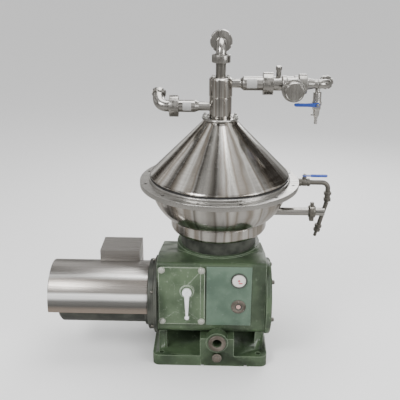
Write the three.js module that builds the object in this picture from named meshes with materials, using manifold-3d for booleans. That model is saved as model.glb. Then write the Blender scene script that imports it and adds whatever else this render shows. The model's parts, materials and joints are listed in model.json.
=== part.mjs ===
// A disc-bowl cream separator: green cast drive casing, flange motor, stainless catcher and hood, outlet
// pipework.
// Millimetres, +Z up. The origin is on the bowl's spindle axis at floor level, and the front faces -Y.
import * as THREE from 'three';
import { mergeVertices } from 'three/addons/utils/BufferGeometryUtils.js';
import Module from 'manifold-3d';

const wasm = await Module();
wasm.setup();

// Driving dimensions
const gap = 0.3; // left between pieces that touch
const sides = { large: 32, medium: 16, small: 10 };
const foot = {
  left: -336, right: 262, front: -328, back: 236, thick: 60, corner: 36, holeRadius: 13, holeInset: 46,
};
const stand = { wall: 42, wallFront: -255, backWall: -176, backThick: 16, columnHalf: 88, rear: 200 };
const casing = {
  left: -310, right: 245, front: -282, back: 214, bottom: 165, top: 570, wall: 16, edge: 20, lowerEdge: 42,
  crestEnd: -150, shoulder: { y: 150, z: 470 },
};
const shaft = { y: -150, z: 328, radius: 22, leftEnd: -292, bearingRadius: 48, bearingWidth: 26 };
const neck = { radius: 221, wall: 20, rim: 580, ledge: 500, ledgeThick: 20, ledgeBore: 100 };
const drum = { wall: 12, top: 664 };
const adapter = { radius: 205, motorRadius: 186, bore: 112, end: -357 };
const endCover = { radius: 200, thick: 30, bore: 113 };
const motor = { radius: 150, flange: 165, length: 470, bore: 112, wall: 18, rotorRadius: 104,
  shaftRadius: 24 };
const shroud = { radius: 175, wall: 4, length: 513, skirt: 26 };
const terminal = { left: -622, right: -414, front: -118, back: 55, bottom: 418, top: 530, lid: 12 };
const windowCover = {
  left: -302, right: -66, bottom: 230, top: 556, thick: 14, corner: 20, rise: 22, slope: 62, inset: 22,
};
const opening = { left: -262, right: -106, bottom: 262, top: 520 };
const brake = { x: -156, z: 432, hub: 35, hubDepth: 18, leverLength: 142, shaftRadius: 13, reach: 46 };
const instrument = {
  left: -58, right: 172, bottom: 222, top: 556, thick: 5, x: 107, ringDepth: 9, dialDepth: 5,
};
const speedWindow = { z: 482, radius: 34, ring: 41 };
const sightGlass = { z: 333, radius: 19, ring: 38 };
const outlet = { z: 144, boss: 57, bossDepth: 8, ring: 46, bore: 24, ringDepth: 9, boreDepth: 70 };
const drain = { z: 50, radius: 25, depth: 12 };
const collar = { top: 729, upper: 252, lower: 245, wall: 6, foot: 12, inner: 189 };
const catcher = { wall: 6, top: 903 };
const flange = { radius: 413, inner: 330, thick: 26, holes: 12, holeCircle: 388, holeRadius: 8, firstHole: 15 };
const rim = { radius: 366, height: 17, inner: 338 };
const gasket = { height: 6, radius: 360 };
const hood = { bottomRadius: 357, topRadius: 84, height: 292, wall: 5 };
const topCollar = { radius: 92, inner: 34, thick: 14 };
const inlet = { lower: 56, upper: 58, bore: 34, lowerHeight: 104, upperHeight: 96, shoulder: 9 };

// Heights that follow from the pieces below them
const flangeTop = catcher.top + flange.thick;
const gasketBottom = flangeTop + rim.height;
const hoodBottom = gasketBottom + gasket.height;
const collarBottom = hoodBottom + hood.height;
const inletBottom = collarBottom + topCollar.thick;
const inletSeam = inletBottom + inlet.lowerHeight;
const inletTop = inletSeam + inlet.upperHeight;

// Pipework, at heights that follow the inlet cylinder and reaches that follow the flange
const feed = {
  radius: 26, wall: 3, pipeTop: inletTop + 110, nutRadius: 46, nutBottom: inletTop + 72, nutHeight: 37,
  bend: 54, reach: 62, rearNut: 56, rearNutWidth: 40,
};
const feedTube = { radius: 15, wall: 3, bottom: 832 };
const paring = { radius: 42, z: 1128, thick: 14 };
const cream = {
  z: inletBottom + 52, small: 22.5, large: 30.5, smallEnd: 108, coneEnd: 129, end: 262,
  nut: 54, nutStart: 210, nutWidth: 46,
};
const creamElbow = { length: 92, rise: 52, back: 60, nut: 36, nutWidth: 22 };
const skim = {
  z: inletSeam + 65, small: 22.5, large: 35, smallEnd: 97, coneEnd: 112, end: 300,
  nut: 56, nutStart: 208, nutWidth: 50,
};
const vent = { x: 284, radius: 12.5, top: skim.z + 88 };
const valve = {
  x: 352, left: 300.3, right: 384, radius: 40, z: skim.z - 17, bodyRadius: 57, neckRadius: 30,
  bodyFront: -92, bodyBack: 44, discDepth: 34, knobRadius: 48, knobDepth: 44, stem: 10, nut: 50, nutEnd: 424,
};
const tail = { start: 384.3, cone: 468, radius: 22.5, bend: 46, end: 482, back: 62, nut: 34, nutWidth: 26 };
const tap = {
  x: 480, body: 20.5, bodyTop: skim.z - 41, bodyBottom: skim.z - 131, nozzle: skim.z - 165, barb: 9,
  bottom: skim.z - 201, stem: 12,
};
const tapLever = { length: 116, thick: 5, front: -34, z: skim.z - 97, width: 22 };
const sludge = { z: 750, radius: 21.5, wall: 3, start: 262, end: 558, clampX: 474, clampWidth: 36,
  clampRadius: 34 };
const water = {
  y: 90, z: 882, radius: 13, start: 322, valveX: flange.radius + 42, valveHalf: 30, valveRadius: 24,
  elbowX: flange.radius + 171, bend: 34, dropEnd: 830, unionRadius: 22, unionHeight: 52,
  tubeEnd: { x: flange.radius + 135, z: 640 }, nutRadius: 21, stubLength: 30,
};
const waterLever = { length: 122, thick: 5, width: 24, rise: 30, stem: 7 };
const spindle = {
  bottom: 200, top: 716, radius: 20, footBearingZ: 205, neckBearingZ: 506, bearingRadius: 52,
  bearingHeight: 26,
};
const worm = { bottom: 272, height: 112, radius: 37 };
const wheel = { width: 46, clearance: 1.5, hub: 44, rim: 18 };
const clutch = { left: -250, right: -170, radius: 104, wall: 12 };
const bowl = {
  bottom: 720, radius: 232, wall: 20, floorZ: 772, wallTop: 925, taper: 46, ringRadius: 256, ringBottom: 885,
  ringTop: 950, hoodRadius: 231, hoodTop: 1150, neckRadius: 64, neckBore: 50,
};
const discs = { inner: 78, outer: 186, bottom: 828, count: 7, pitch: 17, slope: 0.9 };
const distributor = { tube: 60, base: 150, bottom: 800, top: 1010, wall: 5 };

// Finishes
const finish = (color, roughness, metalness) => ({ color, roughness, metalness });
const paint = finish(0x4a6340, 0.45, 0.1);
const padPaint = finish(0x6b8a72, 0.5, 0.1);
const polished = finish(0xb9b6b0, 0.18, 1);
const brushed = finish(0xaaa7a1, 0.35, 1);
const steel = finish(0x8c8c8a, 0.4, 1);
const castIron = finish(0x4b4c4a, 0.6, 0.8);
const bronze = finish(0xa8783c, 0.4, 1);
const rubber = finish(0x1d1d1d, 0.8, 0);
const blue = finish(0x1f3f9c, 0.45, 0);
const white = finish(0xe8e8e2, 0.4, 0);
const glass = finish(0xd9b8b0, 0.1, 0);

// Turned profiles: pairs of radius and height, turned about +Z
function turned(pairs, count = sides.medium) {
  const points = pairs.map(([radius, height]) => new THREE.Vector2(radius, height));
  if (THREE.ShapeUtils.area(points) < 0) points.reverse();
  return new THREE.LatheGeometry(points, count).rotateX(Math.PI / 2);
}

const rod = (radius, bottom, top, count = sides.medium) =>
  turned([[0, bottom], [radius, bottom], [radius, top], [0, top]], count);

const ring = (outer, inner, bottom, top, count = sides.medium) =>
  turned([[inner, bottom], [outer, bottom], [outer, top], [inner, top], [inner, bottom]], count);

// The bore a bar of this radius turns in freely, since both are many-sided
const turningBore = (radius, count = sides.medium) => radius / Math.cos(Math.PI / count) + gap;

const alongX = (geometry) => geometry.rotateY(Math.PI / 2);
const alongY = (geometry) => geometry.rotateX(-Math.PI / 2);
const moved = (geometry, x, y, z) => geometry.translate(x, y, z);

function block(x0, x1, y0, y1, z0, z1) {
  return new THREE.BoxGeometry(x1 - x0, y1 - y0, z1 - z0).translate((x0 + x1) / 2, (y0 + y1) / 2,
    (z0 + z1) / 2);
}

// A rectangle with round corners
function roundedRectangle(x0, x1, y0, y1, radius) {
  const shape = new THREE.Shape();
  shape.absarc(x1 - radius, y1 - radius, radius, 0, Math.PI / 2);
  shape.absarc(x0 + radius, y1 - radius, radius, Math.PI / 2, Math.PI);
  shape.absarc(x0 + radius, y0 + radius, radius, Math.PI, Math.PI * 1.5);
  shape.absarc(x1 - radius, y0 + radius, radius, Math.PI * 1.5, Math.PI * 2);
  return shape;
}

const extruded = (shape, depth, curveSegments = 5) =>
  new THREE.ExtrudeGeometry(shape, { depth, bevelEnabled: false, curveSegments });

// A six-sided bar about +Z
const hexBar = (radius, bottom, top) => rod(radius, bottom, top, 6);

// A bar or tube bent along a curve
function bent(curve, outer, inner, steps = 8, count = 16) {
  const shape = new THREE.Shape().absarc(0, 0, outer, 0, Math.PI * 2);
  if (inner) shape.holes.push(new THREE.Path().absarc(0, 0, inner, 0, Math.PI * 2, true));
  return new THREE.ExtrudeGeometry(shape, {
    extrudePath: curve, steps, bevelEnabled: false, curveSegments: count / 2,
  });
}

// A quarter bend from start, leaving along u, to arrive along v
function quarterBend(start, u, v, radius) {
  const pull = 0.5523 * radius;
  const end = start.clone().addScaledVector(u, radius).addScaledVector(v, radius);
  return new THREE.CubicBezierCurve3(
    start, start.clone().addScaledVector(u, pull), end.clone().addScaledVector(v, -pull), end,
  );
}

// Joins and cuts
function solid(geometry) {
  const flat = new THREE.BufferGeometry();
  flat.setIndex(geometry.index);
  flat.setAttribute('position', geometry.getAttribute('position'));
  const merged = mergeVertices(flat, 1e-3);
  return new wasm.Manifold(new wasm.Mesh({
    numProp: 3,
    vertProperties: merged.attributes.position.array,
    triVerts: new Uint32Array(merged.index.array),
  }));
}

function surface(made) {
  const mesh = made.getMesh();
  const geometry = new THREE.BufferGeometry();
  geometry.setAttribute('position', new THREE.BufferAttribute(new Float32Array(mesh.vertProperties), 3));
  geometry.setIndex(new THREE.BufferAttribute(new Uint32Array(mesh.triVerts), 1));
  geometry.computeVertexNormals();
  return geometry;
}

function joinAndCut(joined, cut = []) {
  let made = solid(joined[0]);
  for (const piece of joined.slice(1)) made = made.add(solid(piece));
  for (const piece of cut) made = made.subtract(solid(piece));
  return surface(made);
}

const group = new THREE.Group();
function addPiece(name, look, geometry, parent = group) {
  const mesh = new THREE.Mesh(geometry, new THREE.MeshStandardMaterial(look));
  mesh.name = name;
  parent.add(mesh);
  return mesh;
}

// Groups on the two axes: the shaft line runs along X, local +Z pointing to world +X
const shaftLine = new THREE.Group();
shaftLine.position.set(0, shaft.y, shaft.z);
shaftLine.rotation.y = Math.PI / 2;
const spindleLine = new THREE.Group();
group.add(shaftLine, spindleLine);

// Foot plate, pedestal walls and the centre column with its outlet boss
function makeBaseFrame() {
  const top = casing.bottom - gap;
  const plate = extruded(roundedRectangle(foot.left, foot.right, foot.front, foot.back, foot.corner),
    foot.thick);
  const walls = [
    block(casing.left + 4, casing.left + 4 + stand.wall, stand.wallFront, stand.rear, foot.thick - 1, top),
    block(casing.right - 4 - stand.wall, casing.right - 4, stand.wallFront, stand.rear, foot.thick - 1, top),
    block(casing.left + 8, casing.right - 8, stand.backWall, stand.backWall + stand.backThick,
      foot.thick - 1, top),
    block(casing.left + 8, casing.right - 8, stand.rear - stand.backThick, stand.rear, foot.thick - 1, top),
    block(-stand.columnHalf, stand.columnHalf, foot.front, stand.backWall + 2, foot.thick - 1, top),
  ];
  const bossFront = foot.front - outlet.bossDepth;
  const boss = moved(alongY(rod(outlet.boss, 0, casing.front - 2 - bossFront)), 0, bossFront, outlet.z);
  const bore = moved(alongY(rod(outlet.bore, -1, outlet.boreDepth)), 0, bossFront, outlet.z);
  const holes = [];
  for (const x of [foot.left + foot.holeInset, foot.right - foot.holeInset]) {
    for (const y of [foot.front + foot.holeInset - 12, foot.back - foot.holeInset / 2]) {
      holes.push(moved(rod(foot.holeRadius, -1, foot.thick + 1, 12), x, y, 0));
    }
  }
  return joinAndCut([plate, ...walls, boss], [bore, ...holes]);
}

// The casing's outline in the YZ plane, shrunk by a wall for its hollow
function casingOutline(shrink) {
  const front = casing.front + shrink;
  const back = casing.back - shrink;
  const bottom = casing.bottom + shrink;
  const top = casing.top - shrink;
  const edge = casing.edge;
  const low = casing.lowerEdge;
  const shape = new THREE.Shape();
  shape.moveTo(back, bottom);
  shape.lineTo(back, casing.shoulder.z - shrink);
  shape.lineTo(casing.crestEnd, top);
  shape.lineTo(front + edge, top);
  shape.absarc(front + edge, top - edge, edge, Math.PI / 2, Math.PI);
  shape.absarc(front + low, bottom + low, low, Math.PI, Math.PI * 1.5);
  return shape;
}

// An outline in YZ, extruded along X between two places
function extrudedAlongX(shape, from, to, curveSegments = 6) {
  const geometry = extruded(shape, to - from, curveSegments);
  geometry.applyMatrix4(new THREE.Matrix4().makeBasis(
    new THREE.Vector3(0, 1, 0), new THREE.Vector3(0, 0, 1), new THREE.Vector3(1, 0, 0),
  ));
  return geometry.translate(from, 0, 0);
}

// Casing: a hollow box with the neck, bored for the shaft line, the end cover, the spindle and the window
function makeDriveCasing() {
  const onShaft = (geometry, x) => moved(alongX(geometry), x, shaft.y, shaft.z);
  const outer = extrudedAlongX(casingOutline(0), casing.left, casing.right);
  const neckWall = rod(neck.radius, neck.ledge - 90, neck.rim, sides.large);
  const hollow = extrudedAlongX(casingOutline(casing.wall), casing.left + casing.wall,
    casing.right - casing.wall);
  const shell = solid(outer).add(solid(neckWall))
    .subtract(solid(hollow))
    .add(solid(ring(neck.radius, neck.ledgeBore, neck.ledge - neck.ledgeThick, neck.ledge, sides.large)))
    .subtract(solid(rod(neck.radius - neck.wall, neck.ledge, neck.rim + 1, sides.large)))
    .subtract(solid(rod(neck.ledgeBore, neck.ledge - neck.ledgeThick - 1, neck.ledge + 1, sides.large)))
    .subtract(solid(onShaft(rod(adapter.bore, -1, casing.wall + 2, sides.large), casing.left)))
    .subtract(solid(onShaft(rod(endCover.bore, -casing.wall - 2, 1, sides.large), casing.right)))
    .subtract(solid(block(
      opening.left, opening.right, casing.front - 1, casing.front + casing.wall + 8, opening.bottom,
      opening.top,
    )));
  return surface(shell);
}

// Window cover: a rimmed plate whose face rises to a small flat, with the brake hub on it
function makeWindowCover() {
  const w = windowCover;
  const plate = extruded(roundedRectangle(w.left, w.right, w.bottom, w.top, w.corner), w.thick);
  const inner = new THREE.Shape();
  const far = w.inset + w.slope;
  inner.moveTo(w.left + far, w.bottom + far);
  inner.lineTo(w.right - far, w.bottom + far);
  inner.lineTo(w.right - far, w.top - far);
  inner.lineTo(w.left + far, w.top - far);
  const pyramid = new THREE.ExtrudeGeometry(inner, {
    depth: 1, bevelEnabled: true, bevelSegments: 1, bevelThickness: w.rise, bevelSize: w.slope,
    curveSegments: 1,
  }).translate(0, 0, w.thick - 1);
  const raised = joinAndCut([plate, pyramid], [block(w.left, w.right, w.bottom, w.top, -w.rise * 2, 0)]);
  // the outline is drawn in XY and stands up facing -Y
  raised.rotateX(Math.PI / 2).translate(0, casing.front - gap, 0);
  const hub = moved(alongY(rod(brake.hub, 0, w.rise + 6)), brake.x, casing.front - w.thick - w.rise - 6,
    brake.z);
  const bore = moved(
    alongY(rod(turningBore(brake.shaftRadius, sides.small), -60, 60, sides.small)),
    brake.x, casing.front - w.thick, brake.z,
  );
  return joinAndCut([raised, hub], [bore]);
}

// Brake: a tapered lever on a short shaft that passes through the window cover
function addBrake() {
  const faceY = casing.front - windowCover.thick - windowCover.rise - 6 - gap;
  const ball = new THREE.SphereGeometry(12, 10, 7).translate(0, 0, -brake.leverLength);
  const arm = new THREE.CylinderGeometry(14, 6, brake.leverLength, sides.small).rotateX(Math.PI / 2);
  arm.scale(1, 0.7, 1).translate(0, 0, -brake.leverLength / 2);
  const hub = alongY(rod(24, -brake.hubDepth, 0, sides.medium));
  const pin = alongY(rod(brake.shaftRadius, -1, brake.reach, sides.small));
  const lever = joinAndCut([hub, pin, moved(arm, 0, -10, 0), moved(ball, 0, -10, 0)]);
  addPiece('brake_lever', white, lever).position.set(brake.x, faceY, brake.z);
}

function addInstruments() {
  const n = instrument;
  const plate = joinAndCut([block(n.left, n.right, casing.front - gap - n.thick, casing.front - gap,
    n.bottom, n.top)]);
  addPiece('instrument_plate', padPaint, plate);
  const face = casing.front - gap - n.thick - gap;
  const facing = (name, look, geometry, x, y, z) => {
    addPiece(name, look, geometry.rotateX(Math.PI / 2)).position.set(x, y, z);
  };
  facing('speed_window', white, turned([
    [0, 0], [speedWindow.ring, 0], [speedWindow.ring, n.ringDepth], [speedWindow.radius, n.ringDepth],
    [speedWindow.radius, n.dialDepth], [0, n.dialDepth],
  ]), n.x, face, speedWindow.z);
  facing('sight_glass', glass, turned([
    [0, 0], [sightGlass.ring, 0], [sightGlass.ring, 4], [sightGlass.ring - 8, n.ringDepth],
    [sightGlass.radius, n.ringDepth], [sightGlass.radius, n.dialDepth], [0, n.dialDepth],
  ]), n.x, face, sightGlass.z);
}

function addOutletAndDrain() {
  const face = foot.front - outlet.bossDepth - gap;
  const port = ring(outlet.ring, outlet.bore, 0, outlet.ringDepth).rotateX(Math.PI / 2);
  addPiece('outlet_port_ring', steel, port).position.set(0, face, outlet.z);
  const plug = joinAndCut([
    rod(drain.radius, 0, drain.depth - 5), hexBar(drain.radius * 0.6, drain.depth - 6, drain.depth),
  ]).rotateX(Math.PI / 2);
  addPiece('drain_plug', steel, plug).position.set(0, foot.front - gap, drain.z);
}

// Shaft line: adapter, motor, coupling, wheel and end cover
function addShaftLine() {
  const place = (name, look, geometry, x) => {
    const mesh = addPiece(name, look, geometry, shaftLine);
    mesh.position.z = x;
    return mesh;
  };
  place('motor_adapter', castIron, turned([
    [adapter.bore, adapter.end], [adapter.motorRadius, adapter.end], [adapter.motorRadius, casing.left - 22],
    [adapter.radius, casing.left - 16], [adapter.radius, casing.left - gap],
    [adapter.bore, casing.left - gap],
    [adapter.bore, adapter.end],
  ], sides.large), 0);
  const coverFace = casing.right + gap;
  const bearingSeat = shaft.bearingRadius + gap;
  place('end_cover', paint, turned([
    [0, coverFace + endCover.thick], [endCover.radius - 8, coverFace + endCover.thick],
    [endCover.radius, coverFace + endCover.thick - 8], [endCover.radius, coverFace],
    [endCover.bore - 1, coverFace], [endCover.bore - 1, coverFace - 12], [bearingSeat + 14, coverFace - 12],
    [bearingSeat + 14, coverFace - shaft.bearingWidth - 12],
    [bearingSeat, coverFace - shaft.bearingWidth - 12],
    [bearingSeat, coverFace - 8], [0, coverFace - 8],
  ], sides.large), 0);
  addMotor(place);
  addDriveShaft(place);
}

function addMotor(place) {
  const start = adapter.end - gap;
  const end = start - motor.length;
  const wall = motor.wall;
  place('motor_body', castIron, turned([
    [motor.shaftRadius + 3, start], [motor.flange, start], [motor.flange, start - 16],
    [motor.radius, start - 20], [motor.radius, end + 14], [motor.radius - 14, end], [0, end], [0, end + wall],
    [motor.bore, end + wall], [motor.bore, start - wall], [motor.shaftRadius + 3, start - wall],
    [motor.shaftRadius + 3, start],
  ], sides.large), 0);
  const rotorMiddle = (start + end) / 2;
  place('motor_rotor', steel, turned([
    [0, rotorMiddle - 150], [motor.rotorRadius, rotorMiddle - 150], [motor.rotorRadius, rotorMiddle + 150],
    [motor.shaftRadius, rotorMiddle + 150], [motor.shaftRadius, shaft.leftEnd - 6 - gap],
    [0, shaft.leftEnd - 6 - gap],
  ]), 0);
}

// The shroud is an arch over the motor with straight skirts and an end plate
function addShroud() {
  const s = shroud;
  const arch = (radius, skirt) => {
    const shape = new THREE.Shape();
    shape.moveTo(-radius, -skirt);
    shape.lineTo(radius, -skirt);
    shape.absarc(0, 0, radius, 0, Math.PI);
    return shape;
  };
  const left = adapter.end - s.length;
  const right = adapter.end - gap;
  const outer = extrudedAlongX(arch(s.radius, s.skirt), left, right, 24);
  const inner = extrudedAlongX(arch(s.radius - s.wall, s.skirt + 10), left + s.wall, right + s.wall, 24);
  const t = terminal;
  const window = block(
    t.left - gap, t.right + gap, t.front - gap - shaft.y, t.back + gap - shaft.y, -10, s.radius + 10,
  );
  addPiece('motor_shroud', brushed, joinAndCut([outer], [inner, window])).position.set(0, shaft.y, shaft.z);
}

function addTerminalBox() {
  const t = terminal;
  const saddle = moved(alongX(rod(motor.radius + 2, t.left - 5, t.right + 5, sides.large)), 0, shaft.y,
    shaft.z);
  const body = block(t.left, t.right, t.front, t.back, t.bottom, t.top - t.lid - gap);
  addPiece('terminal_box', brushed, joinAndCut([body], [saddle]));
  addPiece('terminal_box_lid', brushed, block(t.left, t.right, t.front, t.back, t.top - t.lid, t.top));
}

function addDriveShaft(place) {
  const bearingEnd = casing.right + gap - 8 - gap;
  const bearingStart = bearingEnd - shaft.bearingWidth;
  const wheelRadius = -shaft.y - worm.radius - wheel.clearance;
  place('drive_shaft', steel, rod(shaft.radius, shaft.leftEnd, bearingEnd - gap), 0);
  place('shaft_bearing', steel, ring(
    shaft.bearingRadius, turningBore(shaft.radius), bearingStart, bearingEnd,
  ), 0);
  place('worm_wheel', bronze, turned([
    [shaft.radius + gap, -wheel.width / 2], [wheel.hub, -wheel.width / 2], [wheel.hub, -8],
    [wheelRadius - wheel.rim, -8], [wheelRadius - wheel.rim, -wheel.width / 2],
    [wheelRadius, -wheel.width / 2],
    [wheelRadius - 3, 0], [wheelRadius, wheel.width / 2], [wheelRadius - wheel.rim, wheel.width / 2],
    [wheelRadius - wheel.rim, 8], [wheel.hub, 8], [wheel.hub, wheel.width / 2],
    [shaft.radius + gap, wheel.width / 2], [shaft.radius + gap, -wheel.width / 2],
  ]), 0);
  const c = clutch;
  place('clutch_drum', castIron, turned([
    [shaft.radius + gap, c.right - c.wall], [c.radius - c.wall, c.right - c.wall],
    [c.radius - c.wall, c.left],
    [c.radius, c.left], [c.radius, c.right], [shaft.radius + 16, c.right], [shaft.radius + 16, c.right + 20],
    [shaft.radius + gap, c.right + 20], [shaft.radius + gap, c.right - c.wall],
  ]), 0);
}

// Neck: bearing housings, the drum and the collar that carry the catcher
function addNeck() {
  const wallRadius = neck.radius - neck.wall - gap;
  const seat = spindle.bearingRadius + gap;
  const inside = wallRadius - drum.wall;
  const base = neck.ledge + gap;
  addPiece('neck_drum', castIron, turned([
    [seat, base], [wallRadius, base], [wallRadius, drum.top], [inside, drum.top], [inside, base + 14],
    [seat + 26, base + 14],
    [seat + 16, base + 52], [spindle.radius + 6, base + 52], [spindle.radius + 6, base + 40],
    [seat, base + 40],
    [seat, base],
  ], sides.large));
  const floor = casing.bottom + casing.wall + gap;
  addPiece('foot_bearing_housing', castIron, turned([
    [0, floor], [seat + 22, floor], [seat + 10, spindle.footBearingZ + spindle.bearingHeight],
    [seat, spindle.footBearingZ + spindle.bearingHeight], [seat, spindle.footBearingZ - gap],
    [0, spindle.footBearingZ - gap - 6],
  ]));
}

function addCatcher() {
  const c = collar;
  addPiece('lower_collar', polished, turned([
    [c.inner, drum.top + gap], [c.lower, drum.top + gap], [c.upper, drum.top + 14], [c.upper, c.top - gap],
    [c.upper - c.wall, c.top - gap], [c.upper - c.wall, drum.top + gap + c.foot],
    [c.inner, drum.top + gap + c.foot],
    [c.inner, drum.top + gap],
  ], sides.large));
  const outer = [[c.upper, c.top], [289, 757], [318, 790], [338, 826], [349, 864], [352, catcher.top - gap]];
  const inner = outer.map(([radius, z]) => [radius - catcher.wall, z + (z === c.top ? 0 : 2)]).reverse();
  inner[0][1] = catcher.top - gap;
  const pipeHole = moved(alongX(rod(sludge.radius + gap, 200, 360)), 0, 0, sludge.z);
  const waterHole = moved(alongX(rod(water.radius + 1, 200, 380)), 0, water.y, water.z);
  const shell = turned([...outer, ...inner, outer[0]], sides.large);
  addPiece('collecting_catcher', polished, joinAndCut([shell], [pipeHole, waterHole]));
  const holes = [];
  for (let i = 0; i < flange.holes; i += 1) {
    const angle = THREE.MathUtils.degToRad(flange.firstHole + (360 / flange.holes) * i);
    holes.push(moved(
      rod(flange.holeRadius, -1, flange.thick + 1, 10),
      flange.holeCircle * Math.cos(angle), flange.holeCircle * Math.sin(angle), catcher.top,
    ));
  }
  const profile = turned([
    [flange.inner, catcher.top], [flange.radius, catcher.top], [flange.radius, flangeTop],
    [rim.radius, flangeTop],
    [rim.radius, gasketBottom - 5], [rim.radius - 5, gasketBottom - gap], [rim.inner, gasketBottom - gap],
    [flange.inner, flangeTop], [flange.inner, catcher.top],
  ], sides.large);
  addPiece('catcher_flange', brushed, joinAndCut([profile], holes));
}

// What lifts off with the hood
const hoodLift = new THREE.Group();
group.add(hoodLift);

function addHood() {
  const seal = ring(gasket.radius, rim.inner, gasketBottom, hoodBottom - gap, sides.large);
  addPiece('hood_gasket', rubber, seal, hoodLift);
  const top = collarBottom - gap;
  const h = hood;
  addPiece('hood_cone', polished, turned([
    [h.bottomRadius - 14, hoodBottom], [h.bottomRadius, hoodBottom], [h.bottomRadius + 3, hoodBottom + 7],
    [h.bottomRadius - 2, hoodBottom + 14], [h.topRadius + 8, top - 12], [h.topRadius + 3, top - 5],
    [h.topRadius, top], [h.topRadius - 20, top], [h.topRadius - 20, top - h.wall],
    [h.topRadius - 2, top - 14],
    [h.bottomRadius - 10, hoodBottom + 12], [h.bottomRadius - 14, hoodBottom],
  ], sides.large), hoodLift);
  const t = topCollar;
  addPiece('top_collar', polished, turned([
    [t.inner, collarBottom], [t.radius - 6, collarBottom], [t.radius, collarBottom + 4],
    [t.radius, collarBottom + t.thick - 4], [t.radius - 4, collarBottom + t.thick - gap],
    [t.inner, collarBottom + t.thick - gap], [t.inner, collarBottom],
  ], sides.large), hoodLift);
}

function addInletCylinder() {
  const n = inlet;
  const creamHole = moved(alongX(rod(cream.small + gap, -80, -n.bore + 4)), 0, 0, cream.z);
  const lower = turned([
    [n.bore, inletBottom], [n.lower, inletBottom], [n.lower, inletSeam - 2], [n.lower - 2, inletSeam - gap],
    [n.bore, inletSeam - gap], [n.bore, inletBottom],
  ], sides.large);
  addPiece('inlet_cylinder_lower', polished, joinAndCut([lower], [creamHole]), hoodLift);
  const skimHole = moved(alongX(rod(skim.small + gap, n.bore - 4, 80)), 0, 0, skim.z);
  const upper = turned([
    [n.bore, inletSeam], [n.upper - 2, inletSeam], [n.upper, inletSeam + 2], [n.upper, inletTop - n.shoulder],
    [n.upper - n.shoulder, inletTop], [feed.radius + gap, inletTop], [feed.radius + gap, inletTop - 12],
    [n.bore, inletTop - 12], [n.bore, inletSeam],
  ], sides.large);
  addPiece('inlet_cylinder_upper', polished, joinAndCut([upper], [skimHole]), hoodLift);
}

// A round union nut with slots cut round its edge, about +Z
function unionNut(outer, inner, width, slots = 6) {
  const body = turned([
    [inner, 0], [outer - 4, 0], [outer, 4], [outer, width - 4], [outer - 4, width], [inner, width],
    [inner, 0],
  ]);
  const cuts = [];
  for (let i = 0; i < slots; i += 1) {
    cuts.push(block(outer - 7, outer + 5, -6, 6, -1, width + 1).rotateZ((Math.PI * 2 * i) / slots + 0.35));
  }
  return joinAndCut([body], cuts);
}

function addFeed() {
  const f = feed;
  const start = new THREE.Vector3(0, 0, f.pipeTop);
  const bend = quarterBend(start, new THREE.Vector3(0, 0, 1), new THREE.Vector3(0, 1, 0), f.bend);
  const elbow = joinAndCut([
    bent(bend, f.radius, 0, 6, 16),
    moved(alongY(rod(f.radius, -0.5, f.reach)), 0, f.bend, f.pipeTop + f.bend),
  ]);
  addPiece('feed_pipe', brushed, ring(f.radius, f.radius - f.wall, inletTop - 11, f.pipeTop - gap, 16),
    hoodLift);
  addPiece('feed_union_nut', brushed, unionNut(f.nutRadius, f.radius + gap, f.nutHeight), hoodLift)
    .position.set(0, 0, f.nutBottom);
  addPiece('feed_elbow', polished, elbow, hoodLift);
  const rear = addPiece('feed_rear_nut', brushed, unionNut(f.rearNut, f.radius + gap, f.rearNutWidth),
    hoodLift);
  rear.rotation.x = -Math.PI / 2;
  rear.position.set(0, f.bend + 6, f.pipeTop + f.bend);
  const t = feedTube;
  addPiece('feed_tube', polished, turned([
    [t.radius - t.wall, t.bottom], [t.radius, t.bottom], [t.radius, paring.z], [paring.radius, paring.z],
    [paring.radius, paring.z + paring.thick], [t.radius, paring.z + paring.thick], [t.radius, inletTop - 20],
    [t.radius - t.wall, inletTop - 20], [t.radius - t.wall, t.bottom],
  ], 18), hoodLift);
}

const left = (geometry) => geometry.rotateY(-Math.PI / 2);

function addCreamOutlet() {
  const c = cream;
  const bore = c.small - 4;
  const wide = c.large - 3;
  const pipe = left(turned([
    [bore, inlet.bore + 6], [c.small, inlet.bore + 6], [c.small, c.smallEnd], [c.large, c.coneEnd],
    [c.large, c.end],
    [wide, c.end], [wide, c.coneEnd], [bore, c.smallEnd], [bore, inlet.bore + 6],
  ]));
  addPiece('cream_outlet_pipe', polished, pipe, hoodLift).position.set(0, 0, c.z);
  addPiece('cream_union_nut', brushed, left(unionNut(c.nut, c.large + gap, c.nutWidth)), hoodLift)
    .position.set(-c.nutStart, 0, c.z);
  const e = creamElbow;
  const start = new THREE.Vector3(-c.end - gap, 0, c.z);
  const end = new THREE.Vector3(start.x - e.length * 0.55, e.back, c.z + e.rise);
  const curve = new THREE.CubicBezierCurve3(
    start, start.clone().add(new THREE.Vector3(-e.length * 0.5, 0, 0)),
    end.clone().add(new THREE.Vector3(-4, -e.back * 0.6, -e.rise * 0.6)), end,
  );
  const away = curve.getTangent(1);
  const turn = new THREE.Quaternion().setFromUnitVectors(new THREE.Vector3(0, 0, 1), away);
  const nut = unionNut(e.nut, c.large - 8, e.nutWidth).applyQuaternion(turn);
  nut.translate(...end.clone().addScaledVector(away, -e.nutWidth / 2).toArray());
  addPiece('cream_elbow', polished, joinAndCut([bent(curve, c.large - 1, 0, 7, 16), nut]), hoodLift);
}

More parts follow.
